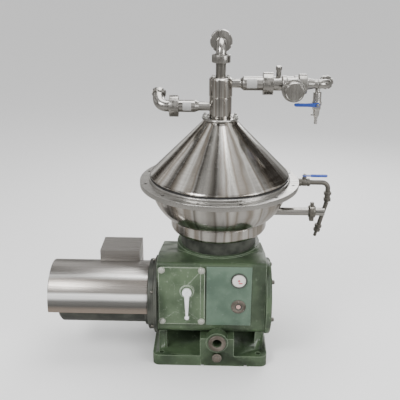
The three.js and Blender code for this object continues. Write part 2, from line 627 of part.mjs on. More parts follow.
function addSkimOutlet() {
  const k = skim;
  const bore = k.small - 4;
  const wide = k.large - 3;
  const pipe = alongX(turned([
    [bore, inlet.bore + 6], [k.small, inlet.bore + 6], [k.small, k.smallEnd], [k.large, k.coneEnd],
    [k.large, k.end],
    [wide, k.end], [wide, k.coneEnd], [bore, k.smallEnd], [bore, inlet.bore + 6],
  ]));
  const ventStub = turned([
    [0, wide - 2], [vent.radius, wide - 2], [vent.radius, vent.top - k.z - 22],
    [vent.radius + 3, vent.top - k.z - 20],
    [vent.radius + 3, vent.top - k.z - 4], [vent.radius - 2, vent.top - k.z], [0, vent.top - k.z],
  ], 16).translate(vent.x, 0, 0);
  addPiece('skim_outlet_pipe', polished, joinAndCut([pipe, ventStub]), hoodLift).position.set(0, 0, k.z);
  addPiece('skim_union_nut', brushed, alongX(unionNut(k.nut, k.large + gap, k.nutWidth)), hoodLift)
    .position.set(k.nutStart, 0, k.z);
  const v = valve;
  const along = (r0, x0, x1) => moved(alongX(rod(r0, x0, x1)), 0, 0, k.z);
  const across = (radius, y0, y1) => moved(alongY(rod(radius, y0, y1)), v.x, 0, v.z);
  const body = joinAndCut(
    [along(v.radius, v.left, v.right), across(v.neckRadius, v.bodyFront + 20, v.bodyBack),
      across(v.bodyRadius, v.bodyFront, v.bodyFront + v.discDepth)],
    [across(v.stem + gap, v.bodyFront - 1, v.bodyFront + 40)],
  );
  addPiece('valve_body', brushed, body, hoodLift);
  const front = v.bodyFront - gap;
  const knob = alongY(joinAndCut([
    turned([
      [0, -v.knobDepth], [v.knobRadius - 5, -v.knobDepth], [v.knobRadius, -v.knobDepth + 5],
      [v.knobRadius, -6],
      [v.knobRadius - 8, 0], [0, 0],
    ], 32),
    rod(v.stem, -1, 30, sides.small),
  ]));
  addPiece('valve_knob', brushed, knob, hoodLift).position.set(v.x, front, v.z);
  addPiece('valve_union_nut', brushed, alongX(unionNut(v.nut, tail.radius + 8,
    v.nutEnd - v.right - 2 * gap)), hoodLift)
    .position.set(v.right + gap, 0, k.z);
}

function addTail() {
  const t = tail;
  const cone = alongX(turned([
    [0, t.start], [t.radius + 7, t.start], [t.radius + 7, valve.nutEnd + 6], [t.radius, t.cone - 6],
    [t.radius, t.end + 0.5], [0, t.end + 0.5],
  ]));
  const corner = new THREE.Vector3(t.end, 0, 0);
  const bend = quarterBend(corner, new THREE.Vector3(1, 0, 0), new THREE.Vector3(0, 1, 0), t.bend);
  const rear = moved(alongY(rod(t.radius, t.bend - 0.5, t.back)), t.end + t.bend, 0, 0);
  const nut = unionNut(t.nut, t.radius - 2, t.nutWidth).rotateX(-Math.PI / 2);
  nut.translate(t.end + t.bend, t.back - t.nutWidth + 6, 0);
  const tapHole = moved(rod(tap.stem + gap, -60, -10), tap.x, 0, 0);
  const made = joinAndCut([cone, bent(bend, t.radius, 0, 8, 16), rear, nut], [tapHole]);
  addPiece('tail_elbow', polished, made, hoodLift).position.set(0, 0, skim.z);
}

function addSampleTap() {
  const t = tap;
  const body = turned([
    [0, t.nozzle], [11, t.nozzle], [15, t.nozzle + 10], [t.body - 4, t.bodyBottom],
    [t.body, t.bodyBottom + 8],
    [t.body, t.bodyTop], [t.stem, t.bodyTop + 4], [t.stem, skim.z - 12], [0, skim.z - 12],
  ], 16);
  const bulge = new THREE.SphereGeometry(t.body + 4, 12, 8).translate(5, 0, tapLever.z);
  const screw = alongX(rod(6, -26, 0, 10)).translate(0, 0, t.nozzle + 12);
  const stemHole = alongY(rod(5 + gap, -60, -8, 12)).translate(0, 0, tapLever.z);
  const nozzle = turned([
    [0, t.bottom], [t.barb - 1, t.bottom], [t.barb, t.bottom + 9], [t.barb - 2, t.bottom + 10],
    [t.barb, t.bottom + 20], [t.barb - 2, t.bottom + 21], [t.barb, t.nozzle + 1], [0, t.nozzle + 1],
  ], 12);
  const barbBore = rod(5, t.bottom - 1, t.nozzle - 2, 10);
  addPiece('sample_tap_body', brushed, joinAndCut([body, bulge, screw, nozzle], [stemHole, barbBore]),
    hoodLift)
    .position.x = t.x;
  const v = tapLever;
  addPiece('sample_tap_lever', blue, handle(v, 5, -v.front - 12), hoodLift).position.set(t.x, v.front, v.z);
}

// A flat tapered lever pointing along -X from its pivot, with its stem along +Y
function handle(lever, stemRadius, stemLength) {
  const shape = new THREE.Shape();
  shape.absarc(0, 0, lever.width / 2, -Math.PI / 2, Math.PI / 2);
  shape.absarc(-lever.length + 6, 0, 6, Math.PI / 2, Math.PI * 1.5);
  const blade = extruded(shape, lever.thick, 6).rotateX(Math.PI / 2);
  return joinAndCut([blade, alongY(rod(stemRadius, -1, stemLength, 12))]);
}

function addSludgePipe() {
  const u = sludge;
  const pipe = alongX(ring(u.radius, u.radius - u.wall, u.start, u.end));
  addPiece('sludge_pipe', polished, pipe).position.set(0, 0, u.z);
  const clamp = joinAndCut([
    ring(u.clampRadius, u.radius + gap, 0, u.clampWidth),
    block(-u.clampRadius - 16, -u.radius - 6, -9, 9, 6, u.clampWidth - 6),
    block(u.radius + 6, u.clampRadius + 18, -7, 7, 8, u.clampWidth - 8),
  ]);
  addPiece('sludge_clamp', castIron, alongX(clamp)).position.set(u.clampX, 0, u.z);
}

function addWaterLine() {
  const w = water;
  const valveStart = w.valveX - w.valveHalf;
  const valveEnd = w.valveX + w.valveHalf;
  const straight = (geometry) => geometry.translate(0, w.y, w.z);
  const body = alongX(joinAndCut([
    hexBar(w.valveRadius - 2, valveStart, valveStart + 14), hexBar(w.valveRadius - 2, valveEnd - 14,
      valveEnd),
    rod(w.valveRadius - 4, valveStart + 12, valveEnd - 12, 16), rod(w.radius, w.start, valveStart + 1, 16),
  ]));
  const stem = rod(waterLever.stem + 5, 10, waterLever.rise - gap, 16).translate(w.valveX, 0, 0);
  const stemHole = rod(waterLever.stem + gap, 12, 60, 16).translate(w.valveX, 0, 0);
  addPiece('water_valve_body', castIron, straight(joinAndCut([body, stem], [stemHole])));
  const lever = handle(waterLever, waterLever.stem,
    waterLever.rise - 14).rotateX(-Math.PI / 2).rotateZ(Math.PI);
  addPiece('water_valve_lever', blue, lever).position.set(w.valveX, w.y,
    w.z + waterLever.rise + waterLever.thick);
  const bendStart = new THREE.Vector3(w.elbowX - w.bend, 0, 0);
  const bend = quarterBend(bendStart, new THREE.Vector3(1, 0, 0), new THREE.Vector3(0, 0, -1), w.bend);
  const drop = rod(w.radius, w.dropEnd - w.z - 1, -w.bend + 0.5, 16).translate(w.elbowX, 0, 0);
  const unionTop = w.dropEnd - w.z;
  addPiece('water_elbow', brushed, straight(joinAndCut([
    alongX(rod(w.radius, valveEnd + gap, w.elbowX - w.bend + 0.5)), bent(bend, w.radius, 0, 6), drop,
    hexBar(w.unionRadius, unionTop - 16, unionTop).translate(w.elbowX, 0, 0),
    rod(w.radius + 2, unionTop - w.unionHeight, unionTop - 15, 16).translate(w.elbowX, 0, 0),
    hexBar(w.unionRadius - 1, unionTop - w.unionHeight, unionTop - w.unionHeight + 18).translate(w.elbowX,
      0, 0),
  ])));
  const tubeTop = new THREE.Vector3(w.elbowX, w.y, w.dropEnd - w.unionHeight - gap);
  const tubeBottom = new THREE.Vector3(w.tubeEnd.x, w.y, w.tubeEnd.z);
  const down = tubeBottom.clone().sub(tubeTop);
  const length = down.length();
  const drain = joinAndCut([
    rod(w.radius - 1, 6, length + 1), hexBar(w.nutRadius, length, length + 16),
    rod(w.radius, length + 15, length + 24), hexBar(w.nutRadius - 1, length + 23, length + 40),
    rod(9, length + 39, length + 40 + w.stubLength, 12),
  ]);
  const tube = addPiece('water_drain_tube', steel, drain);
  tube.quaternion.setFromUnitVectors(new THREE.Vector3(0, 0, 1), down.clone().normalize());
  tube.position.copy(tubeTop);
}

// The bowl and its spindle
function addSpindle() {
  const p = spindle;
  addPiece('spindle', steel, turned([
    [0, p.footBearingZ], [p.radius, p.footBearingZ], [p.radius, worm.bottom], [worm.radius, worm.bottom + 8],
    [worm.radius, worm.bottom + worm.height - 8], [p.radius, worm.bottom + worm.height],
    [p.radius, bowl.bottom - 4],
    [p.radius - 6, bowl.floorZ - 6], [0, bowl.floorZ - 6],
  ]), spindleLine);
  for (const [name, bottom] of [['foot_bearing', p.footBearingZ], ['neck_bearing', p.neckBearingZ]]) {
    addPiece(name, steel, ring(
      p.bearingRadius, turningBore(p.radius), bottom, bottom + p.bearingHeight,
    ));
  }
}

function addBowl() {
  const b = bowl;
  addPiece('bowl_body', polished, turned([
    [spindle.radius + gap, b.bottom], [b.taper, b.bottom], [b.taper + 8, b.floorZ - 30],
    [b.radius - 34, b.floorZ - 12],
    [b.radius, b.floorZ + 22], [b.radius, b.wallTop], [b.radius - b.wall, b.wallTop],
    [b.radius - b.wall, b.floorZ + 30], [b.radius - b.wall - 30, b.floorZ + 10], [0, b.floorZ + 6],
    [0, b.floorZ],
    [spindle.radius + gap, b.floorZ],
    [spindle.radius + gap, b.bottom],
  ].filter(([radius]) => radius > 0), sides.large), spindleLine);
  const slope = (b.hoodTop - 60 - b.wallTop - 20) / (b.hoodRadius - b.neckRadius);
  const wall = 12;
  addPiece('bowl_hood', polished, turned([
    [b.hoodRadius - 20, b.wallTop + gap], [b.hoodRadius, b.wallTop + gap], [b.hoodRadius, b.wallTop + 18],
    [b.neckRadius, b.wallTop + 18 + slope * (b.hoodRadius - b.neckRadius)], [b.neckRadius, b.hoodTop],
    [b.neckBore, b.hoodTop], [b.neckBore, b.wallTop + 6 + slope * (b.hoodRadius - b.neckRadius)],
    [b.hoodRadius - 20, b.wallTop + 6 + wall], [b.hoodRadius - 20, b.wallTop + gap],
  ], sides.large), spindleLine);
  addPiece('bowl_lock_ring', bronze, turned([
    [b.radius + gap, b.ringBottom], [b.ringRadius, b.ringBottom], [b.ringRadius, b.ringTop - 10],
    [b.ringRadius - 8, b.ringTop], [b.radius + gap, b.ringTop], [b.radius + gap, b.ringBottom],
  ], sides.large), spindleLine);
  const d = distributor;
  addPiece('distributor', polished, turned([
    [d.base - 6, d.bottom], [d.base, d.bottom], [d.tube, d.bottom + 80], [d.tube, d.top],
    [d.tube - d.wall, d.top],
    [d.tube - d.wall, d.bottom + 78], [d.base - 6, d.bottom],
  ]), spindleLine);
  const outerEdge = [];
  for (let i = 0; i < discs.count; i += 1) {
    const z = discs.bottom + discs.pitch * i;
    outerEdge.push([discs.outer, z], [discs.outer, z + discs.pitch * 0.4], [discs.outer - 9,
      z + discs.pitch * 0.7]);
  }
  const rise = discs.slope * (discs.outer - discs.inner);
  const stackTop = discs.bottom + discs.pitch * discs.count;
  addPiece('disc_stack', steel, turned([
    ...outerEdge, [discs.inner, stackTop + rise], [discs.inner, discs.bottom + rise], outerEdge[0],
  ], 24), spindleLine);
}

addPiece('base_frame', paint, makeBaseFrame());
addPiece('drive_casing', paint, makeDriveCasing());
addPiece('gear_window_cover', paint, makeWindowCover());
addBrake();
addInstruments();
addOutletAndDrain();
addShaftLine();
addShroud();
addTerminalBox();
addNeck();
addCatcher();
addHood();
addInletCylinder();
addFeed();
addCreamOutlet();
addSkimOutlet();
addTail();
addSampleTap();
addSludgePipe();
addWaterLine();
addSpindle();
addBowl();

export default group;
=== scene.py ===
import bpy
import bmesh
import json
import math
from mathutils import Matrix, Vector


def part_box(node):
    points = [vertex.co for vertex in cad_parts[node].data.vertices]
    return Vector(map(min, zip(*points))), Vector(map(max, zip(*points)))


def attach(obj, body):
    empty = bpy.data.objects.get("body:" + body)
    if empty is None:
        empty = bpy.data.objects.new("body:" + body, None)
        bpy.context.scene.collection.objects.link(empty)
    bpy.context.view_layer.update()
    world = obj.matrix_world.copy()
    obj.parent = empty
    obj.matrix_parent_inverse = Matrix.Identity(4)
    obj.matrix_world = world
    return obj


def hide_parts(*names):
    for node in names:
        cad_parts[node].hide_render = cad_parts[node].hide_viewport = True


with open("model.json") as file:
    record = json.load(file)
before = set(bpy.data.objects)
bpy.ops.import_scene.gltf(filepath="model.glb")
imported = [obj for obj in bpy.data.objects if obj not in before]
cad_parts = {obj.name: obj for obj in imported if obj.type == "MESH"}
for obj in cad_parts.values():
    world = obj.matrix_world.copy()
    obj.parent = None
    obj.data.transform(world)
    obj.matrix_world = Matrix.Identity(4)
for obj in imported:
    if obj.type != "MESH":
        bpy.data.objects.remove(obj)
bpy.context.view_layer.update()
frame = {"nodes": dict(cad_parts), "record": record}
print("frame loaded:", len(frame["nodes"]), "nodes")

mm = 0.001
body = {node: name for name, nodes in frame["record"]["behaviour"]["bodies"].items() for node in nodes}
slotOf = {part["node"]: part["material_slot"] for part in frame["record"]["subparts"]}


def high(node):
    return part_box(node)[1] / mm


# one socket, wrapped so that shader maths reads as plain expressions
class Wire:
    def __init__(self, sheet, socket):
        self.sheet, self.socket = sheet, socket

    def maths(self, operation, a, b=0.0):
        return self.sheet.node("ShaderNodeMath", {"operation": operation}, {0: a, 1: b})

    def __add__(self, other):
        return self.maths("ADD", self, other)

    __radd__ = __add__

    def __mul__(self, other):
        return self.maths("MULTIPLY", self, other)

    __rmul__ = __mul__

    def __sub__(self, other):
        return self.maths("SUBTRACT", self, other)

    def __rsub__(self, other):
        return self.maths("SUBTRACT", other, self)


# the nodes of a new material, or of the world when one is given
class Sheet:
    def __init__(self, name, world=None):
        self.owner = world or bpy.data.materials.new(name)
        self.owner.use_nodes = True
        self.nodes = self.owner.node_tree.nodes
        self.links = self.owner.node_tree.links
        self.shader = self.nodes["Background" if world else "Principled BSDF"]
        self.place = self.node("ShaderNodeTexCoord", {}, {}, "Generated" if world else "Object")

    def node(self, kind, settings, inputs, output=0):
        made = self.nodes.new(kind)
        for key, value in settings.items():
            if key == "stops":
                for element, (spot, color) in zip(self.stopsFor(made, len(value)), value):
                    element.position, element.color = spot, (*color, 1)
            else:
                setattr(made, key, value)
        for key, value in inputs.items():
            self.feed(made.inputs[key], value)
        return Wire(self, made.outputs[output])

    def stopsFor(self, ramp, count):
        while len(ramp.color_ramp.elements) < count:
            ramp.color_ramp.elements.new(1.0)
        return ramp.color_ramp.elements

    def feed(self, socket, value):
        if isinstance(value, Wire):
            self.links.new(value.socket, socket)
        elif hasattr(socket.default_value, "__len__"):
            socket.default_value = (*value, 1)[: len(socket.default_value)]
        else:
            socket.default_value = value

    def set(self, **values):
        for key, value in values.items():
            self.feed(self.shader.inputs[key.replace("_", " ")], value)
        return self.owner

    def noise(self, scale, detail=3, stretch=(1, 1, 1), rough=0.5):
        spot = self.node("ShaderNodeMapping", {}, {"Vector": self.place, "Scale": stretch})
        return self.node("ShaderNodeTexNoise", {}, {
            "Vector": spot, "Scale": scale, "Detail": detail, "Roughness": rough})

    def band(self, value, start, end, toLow=0.0, toHigh=1.0):
        return self.node("ShaderNodeMapRange", {"interpolation_type": "SMOOTHSTEP"}, {
            "Value": value, "From Min": start, "From Max": end, "To Min": toLow, "To Max": toHigh})

    def mix(self, amount, first, second):
        return self.node("ShaderNodeMix", {"data_type": "RGBA"}, {0: amount, 6: first, 7: second}, 2)

    def bump(self, height, strength, distance):
        return self.node("ShaderNodeBump", {}, {"Height": height, "Strength": strength, "Distance": distance})

    # how far a softened normal leans from the true one, for wear along edges
    def edges(self, reach):
        soft = self.node("ShaderNodeBevel", {"samples": 4}, {"Radius": reach})
        true = self.node("ShaderNodeNewGeometry", {}, {}, "Normal")
        lean = self.node("ShaderNodeVectorMath", {"operation": "DOT_PRODUCT"}, {0: soft, 1: true}, "Value")
        return 1.0 - lean

    # unit direction away from the spindle axis, so that a pattern runs up and down a turned sheet
    def outwards(self):
        flat = self.node("ShaderNodeMapping", {}, {"Vector": self.place, "Scale": (1, 1, 0)})
        return self.node("ShaderNodeVectorMath", {"operation": "NORMALIZE"}, {0: flat})

    def height(self):
        return self.node("ShaderNodeSeparateXYZ", {}, {"Vector": self.place}, "Z")

    def ramp(self, value, stops):
        return self.node("ShaderNodeValToRGB", {"stops": stops}, {"Fac": value})


def enamel(name, base, dark, pale, wear=0.6, rub=0.3, gain=14, smoke=0.45):
    # hammered enamel on cast iron: cloudy colour, pebbled surface, pale worn edges, soot in patches here and
    # there
    s = Sheet(name)
    clouds = s.band(s.noise(9, 5), 0.35, 0.68)
    color = s.mix(clouds, base, dark)
    rubbed = s.band(s.noise(55, 6, rough=0.7), 0.56, 0.72) * rub
    color = s.mix(rubbed, color, pale)
    soot = s.band(s.noise(4.5, 5), 0.56, 0.75) * smoke
    color = s.mix(soot, color, (0.014, 0.018, 0.012))
    worn = s.band(s.edges(0.006) * gain + s.noise(70, 4) * 0.8, 0.55, 1.1)
    color = s.mix(worn * wear, color, pale)
    pebble = s.noise(210, 3)
    casting = s.noise(24, 3)
    return s.set(Base_Color=color, Roughness=s.band(clouds + rubbed, 0, 1.2, 0.28, 0.5),
                 Normal=s.bump(pebble + casting * 1.4, 0.35, 0.0012), Coat_Weight=0.15, Coat_Roughness=0.25)


def stainless(name, tint, rough, stretch, lines=0.25, mottle=0.12):
    # fine lines run across the direction that is stretched most
    s = Sheet(name)
    fine = s.noise(1.0, 4, stretch, 0.65)
    clouds = s.noise(6, 4)
    dull = s.band(clouds, 0.3, 0.75)
    color = s.mix(dull * 0.5, tint, tuple(c * 0.78 for c in tint))
    color = s.mix(s.band(fine, 0.35, 0.7) * 0.22, color, tuple(c * 0.6 for c in tint))
    spread = s.band(fine, 0.3, 0.7, -lines * 0.3, lines * 0.3) + dull * mottle + rough
    return s.set(Base_Color=color, Metallic=1.0, Roughness=spread, Normal=s.bump(fine, lines * 0.35, 0.0004))


def reflectionPaintedSheet(name, rough=0.17):
    # polished sheet that mirrors a workshop, with that reflection also painted into its colour: painted warm
    # and dark reflection streaks running up it, fine turned lines across
    s = Sheet(name)
    broad = s.node("ShaderNodeTexNoise", {}, {
        "Vector": s.outwards(), "Scale": 2.3, "Detail": 2.2, "Roughness": 0.5})
    slow = s.noise(2.2, 3, (1, 1, 1.6))
    # painted reflection: pale, dark and warm streaks by direction round the axis, fixed in the colour
    paintedReflection = s.ramp(broad * 0.82 + slow * 0.18, (
        (0.33, (0.60, 0.59, 0.56)), (0.42, (0.20, 0.185, 0.165)), (0.47, (0.52, 0.51, 0.49)),
        (0.51, (0.30, 0.265, 0.225)), (0.56, (0.66, 0.65, 0.62)), (0.61, (0.24, 0.22, 0.20)),
        (0.70, (0.56, 0.55, 0.53))))
    lines = s.noise(1.0, 4, (3, 3, 650), 0.65)
    color = s.mix(s.band(lines, 0.35, 0.7) * 0.2, paintedReflection, (0.16, 0.155, 0.145))
    spread = s.band(lines, 0.3, 0.7, rough - 0.05, rough + 0.08)
    return s.set(Base_Color=color, Metallic=1.0, Roughness=spread, Normal=s.bump(lines, 0.07, 0.0004))


def paintedLightShroud(name):
    # rolled sheet over the motor: painted bands of highlight, shade and reflection along it by height,
    # brushed lengthways
    s = Sheet(name)
    lines = s.noise(1.0, 4, (2.5, 520, 520), 0.65)
    wander = s.noise(3, 3, (0.5, 1, 1))
    level = s.band(s.height() + wander * 0.012, 0.300, 0.512)
    # painted light: dark, pale and warm bands by height stand for highlights, shade and reflection
    paintedLightBands = s.ramp(level, (
        (0.03, (0.42, 0.35, 0.30)), (0.12, (0.16, 0.16, 0.155)), (0.24, (0.30, 0.30, 0.295)),
        (0.34, (0.80, 0.80, 0.79)), (0.48, (1.0, 1.0, 0.99)), (0.56, (0.34, 0.32, 0.30)),
        (0.88, (0.30, 0.275, 0.25)), (0.935, (1.0, 0.99, 0.97)), (0.97, (0.36, 0.345, 0.33))))
    color = s.mix(s.band(lines, 0.35, 0.7) * 0.35, paintedLightBands, (0.17, 0.165, 0.155))
    # the painted highlight of the bright middle band is less of a mirror, so that it stays pale from any side
    lit = s.band(level, 0.26, 0.36) * s.band(level, 0.57, 0.49)
    return s.set(Base_Color=color, Metallic=1.0 - lit * 0.6, Roughness=s.band(lines, 0.3, 0.7, 0.22, 0.42),
                 Normal=s.bump(lines, 0.12, 0.0004))


def castDark(name, base, pale):
    s = Sheet(name)
    clouds = s.band(s.noise(14, 5), 0.35, 0.7)
    color = s.mix(clouds, base, pale)
    worn = s.band(s.edges(0.005) * 12 + s.noise(60, 4) * 0.8, 0.6, 1.2)
    color = s.mix(worn * 0.5, color, (0.22, 0.22, 0.20))
    return s.set(Base_Color=color, Metallic=0.35, Roughness=s.band(clouds, 0, 1, 0.42, 0.62),
                 Normal=s.bump(s.noise(160, 4), 0.4, 0.0012))


def plain(name, base, rough, metal=0.0, scale=60, coat=0.0):
    s = Sheet(name)
    spots = s.band(s.noise(scale, 4), 0.3, 0.7)
    color = s.mix(spots * 0.35, base, tuple(c * 0.6 for c in base))
    return s.set(Base_Color=color, Metallic=metal, Roughness=s.band(spots, 0, 1, rough, rough + 0.15),
                 Normal=s.bump(s.noise(scale * 5, 2), 0.12, 0.0006), Coat_Weight=coat)


steelTint = (0.40, 0.39, 0.37)
finishes = {
    "green_paint": enamel("greenEnamel", (0.062, 0.094, 0.050), (0.028, 0.046, 0.023), (0.26, 0.32, 0.23)),
    "pad_paint": enamel("padEnamel", (0.100, 0.158, 0.112), (0.062, 0.108, 0.074), (0.22, 0.28, 0.23), 0.4,
                        0.3, smoke=0.1),
    "polished_stainless": stainless("turnedSheet", steelTint, 0.15, (3, 3, 700)),
    "brushed_stainless": stainless("brushedSheet", (0.44, 0.43, 0.41), 0.25, (9, 420, 420), 0.4),
    "machined_steel": stainless("machinedSteel", (0.45, 0.45, 0.43), 0.3, (500, 500, 500), 0.5, 0.2),
    "dark_cast": castDark("darkCasting", (0.030, 0.034, 0.028), (0.085, 0.09, 0.075)),
    "fitting_steel": stainless("fittingSteel", (0.20, 0.19, 0.17), 0.30, (220, 220, 220), 0.5, 0.25),
    "bronze": plain("bronzeCasting", (0.50, 0.30, 0.11), 0.32, 1.0),
    "rubber": plain("blackRubber", (0.022, 0.022, 0.022), 0.62),
    "blue_grip": plain("blueVinyl", (0.012, 0.055, 0.34), 0.36, 0.0, 40, 0.3),
    "bright_lever": plain("brightPlating", (0.88, 0.89, 0.90), 0.16, 0.1, 30, 0.6),
    "white_dial": plain("dialFace", (0.72, 0.71, 0.66), 0.35, 0.0, 25),
    "sight_lens": plain("sightLens", (0.50, 0.31, 0.27), 0.12, 0.0, 35, 0.8),
}
crossBrushed = stainless("crossBrushed", (0.36, 0.35, 0.33), 0.22, (420, 9, 9), 0.35)
motorSheet = paintedLightShroud("shroudSheet")
boxSheet = plain("boxSheet", (0.95, 0.95, 0.945), 0.30, 0.0, 12)
hoodSheet = reflectionPaintedSheet("hoodSheet")
coverPaint = enamel("coverEnamel", (0.085, 0.125, 0.07), (0.045, 0.075, 0.036), (0.36, 0.42, 0.33), 0.95,
                    0.45, 42, 0.15)
chrome = stainless("chromePlate", (0.62, 0.61, 0.59), 0.16, (90, 90, 90), 0.3)
dullBrown = castDark("dullFitting", (0.075, 0.062, 0.048), (0.17, 0.145, 0.12))
threadSteel = stainless("threadSteel", (0.27, 0.26, 0.24), 0.34, (60, 60, 900), 0.7, 0.2)
labelFace = plain("blankLabel", (0.42, 0.42, 0.41), 0.4, 0.4)
markRed = plain("dialMark", (0.50, 0.10, 0.12), 0.4)
print("finishes made")


def rounded(outline, radius, steps=4):
    # the outline's corners turned into short arcs; corners on the turning axis stay sharp
    points = []
    for i, corner in enumerate(outline):
        before, after = Vector(outline[i - 1]), Vector(outline[(i + 1) % len(outline)])
        here = Vector(corner)
        reach = min(radius, (before - here).length * 0.45, (after - here).length * 0.45)
        if here.x < 1e-6 or reach < 1e-3:
            points.append(here)
            continue
        start = here + (before - here).normalized() * reach
        end = here + (after - here).normalized() * reach
        for step in range(steps + 1):
            t = step / steps
            points.append(start * (1 - t) ** 2 + here * 2 * t * (1 - t) + end * t ** 2)
    return points


def finished(name, bm, material, node, replaced=True, angle=35):
    bmesh.ops.transform(bm, matrix=Matrix.Scale(mm, 4), verts=bm.verts)
    bmesh.ops.remove_doubles(bm, verts=bm.verts, dist=1e-6)
    bmesh.ops.recalc_face_normals(bm, faces=bm.faces)
    mesh = bpy.data.meshes.new(name)
    bm.to_mesh(mesh)
    bm.free()
    mesh.shade_smooth()
    mesh.set_sharp_from_angle(angle=math.radians(angle))
    piece = bpy.data.objects.new(name, mesh)
    bpy.context.collection.objects.link(piece)
    mesh.materials.append(material or finishes[slotOf[node]])
    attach(piece, body[node])
    if replaced:
        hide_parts(node)
    return piece


turnTo = {"z": Matrix(),
          "x": Matrix.Rotation(math.pi / 2, 4, "Y"), "-x": Matrix.Rotation(-math.pi / 2, 4, "Y"),
          "y": Matrix.Rotation(-math.pi / 2, 4, "X"), "-y": Matrix.Rotation(math.pi / 2, 4, "X")}


# an outline of radius and height, spun round the Z axis as it is
def turned(outline, steps):
    bm = bmesh.new()
    verts = [bm.verts.new((p[0], 0, p[1])) for p in outline]
    edges = [bm.edges.new((verts[i - 1], verts[i])) for i in range(len(verts))]
    bmesh.ops.spin(bm, geom=verts + edges, cent=(0, 0, 0), axis=(0, 0, 1), angle=math.tau, steps=steps,
                   use_merge=True)
    return bm


def spun(outline, radius=1.5, steps=96, axis="z", at=(0, 0, 0)):
    bm = turned(rounded(outline, radius), steps)
    bmesh.ops.remove_doubles(bm, verts=bm.verts, dist=1e-4)
    bmesh.ops.dissolve_degenerate(bm, dist=1e-5, edges=bm.edges)
    bmesh.ops.transform(bm, matrix=Matrix.Translation(at) @ turnTo[axis], verts=bm.verts)
    return bm


def joined(*parts):
    whole = parts[0]
    for part in parts[1:]:
        mesh = bpy.data.meshes.new("part")
        part.to_mesh(mesh)
        part.free()
        whole.from_mesh(mesh)
        bpy.data.meshes.remove(mesh)
    return whole


def rod(radius, start, end, soft=1.0, steps=48, axis="z", at=(0, 0, 0)):
    return spun([(0, start), (radius, start), (radius, end), (0, end)], soft, steps, axis, at)


def hexBar(radius, start, end, soft=1.2, axis="z", at=(0, 0, 0)):
    bm = bmesh.new()
    bmesh.ops.create_cone(bm, cap_ends=True, segments=6, radius1=radius, radius2=radius, depth=end - start)
    bmesh.ops.translate(bm, vec=(0, 0, (start + end) / 2), verts=bm.verts)
    bmesh.ops.bevel(bm, geom=bm.edges, offset=soft, affect="EDGES", segments=2, profile=0.5, material=-1)
    bmesh.ops.transform(bm, matrix=Matrix.Translation(at) @ turnTo[axis], verts=bm.verts)
    return bm


def block(corner, far, soft=2.0, segments=3):
    bm = bmesh.new()
    bmesh.ops.create_cube(bm, size=1)
    size = [b - a for a, b in zip(corner, far)]
    bmesh.ops.scale(bm, vec=size, verts=bm.verts)
    bmesh.ops.translate(bm, vec=[(a + b) / 2 for a, b in zip(corner, far)], verts=bm.verts)
    if soft:
        bmesh.ops.bevel(bm, geom=bm.edges, offset=soft, affect="EDGES", segments=segments, profile=0.5,
                        material=-1)
    return bm


def slab(outline, depth, soft=2.0, segments=3):
    # a flat outline in XY raised along Z, with its rims rounded
    bm = bmesh.new()
    face = bm.faces.new([bm.verts.new((p[0], p[1], 0)) for p in outline])
    made = bmesh.ops.extrude_face_region(bm, geom=[face])
    top = [v for v in made["geom"] if isinstance(v, bmesh.types.BMVert)]
    bmesh.ops.translate(bm, vec=(0, 0, depth), verts=top)
    if soft:
        rims = [e for e in bm.edges if abs(e.verts[0].co.z - e.verts[1].co.z) < 1e-6]
        bmesh.ops.bevel(bm, geom=rims, offset=soft, affect="EDGES", segments=segments, profile=0.5,
                        material=-1)
    return bm


def cut(piece, cutter):
    # takes the cutter's shape out of a finished piece
    mesh = bpy.data.meshes.new("cutter")
    bmesh.ops.scale(cutter, vec=(mm, mm, mm), verts=cutter.verts)
    bmesh.ops.recalc_face_normals(cutter, faces=cutter.faces)
    cutter.to_mesh(mesh)
    cutter.free()
    tool = bpy.data.objects.new("cutter", mesh)
    bpy.context.collection.objects.link(tool)
    modifier = piece.modifiers.new("cut", "BOOLEAN")
    modifier.operation, modifier.object, modifier.solver = "DIFFERENCE", tool, "EXACT"
    shape = bpy.data.meshes.new_from_object(piece.evaluated_get(bpy.context.evaluated_depsgraph_get()))
    piece.modifiers.clear()
    piece.data = shape
    shape.shade_smooth()
    shape.set_sharp_from_angle(angle=math.radians(35))
    bpy.data.objects.remove(tool)
    return piece


camera = {"place": (-0.02, -3.3, 2.06), "pitch": 20.8, "yaw": 1.5, "roll": -0.3, "lens": 60.1}


def makeCamera():
    data = bpy.data.cameras.new("camera")
    data.lens, data.sensor_width = camera["lens"], 36
    eye = bpy.data.objects.new("camera", data)
    eye.location = camera["place"]
    eye.rotation_euler = [math.radians(a) for a in (90 - camera["pitch"], camera["roll"], camera["yaw"])]
    bpy.context.collection.objects.link(eye)
    bpy.context.scene.camera = eye


lamps = {
    "key": {"place": (-2.2, -2.6, 3.4), "size": 1.4, "power": 110},
    "fill": {"place": (2.8, -2.2, 2.0), "size": 1.6, "power": 60},
    "top": {"place": (0.2, 0.4, 4.0), "size": 2.4, "power": 90},
    "back": {"place": (1.0, 3.0, 2.6), "size": 2.0, "power": 60},
}


def makeLight():
    for name, lamp in lamps.items():
        data = bpy.data.lights.new(name, "AREA")
        data.size, data.energy = lamp["size"], lamp["power"]
        light = bpy.data.objects.new(name, data)
        light.location = lamp["place"]
        light.rotation_euler = (Vector((0, 0, 0.8)) - light.location).to_track_quat("-Z", "Y").to_euler()
        bpy.context.collection.objects.link(light)
    world = bpy.data.worlds.new("studio")
    bpy.context.scene.world = world
    # a room of pale walls with darker gaps between them, which only the steel mirrors
    s = Sheet("studio", world)
    shades = ((0.46, (0.045, 0.038, 0.03)), (0.60, (1.25, 1.23, 1.20)))
    walls = s.ramp(s.noise(1.7, 3, (2.2, 2.2, 0.35)), shades)
    mirrored = s.node("ShaderNodeLightPath", {}, {}, "Is Glossy Ray")
    s.set(Color=s.mix(mirrored, (1, 1, 1), walls), Strength=0.95)


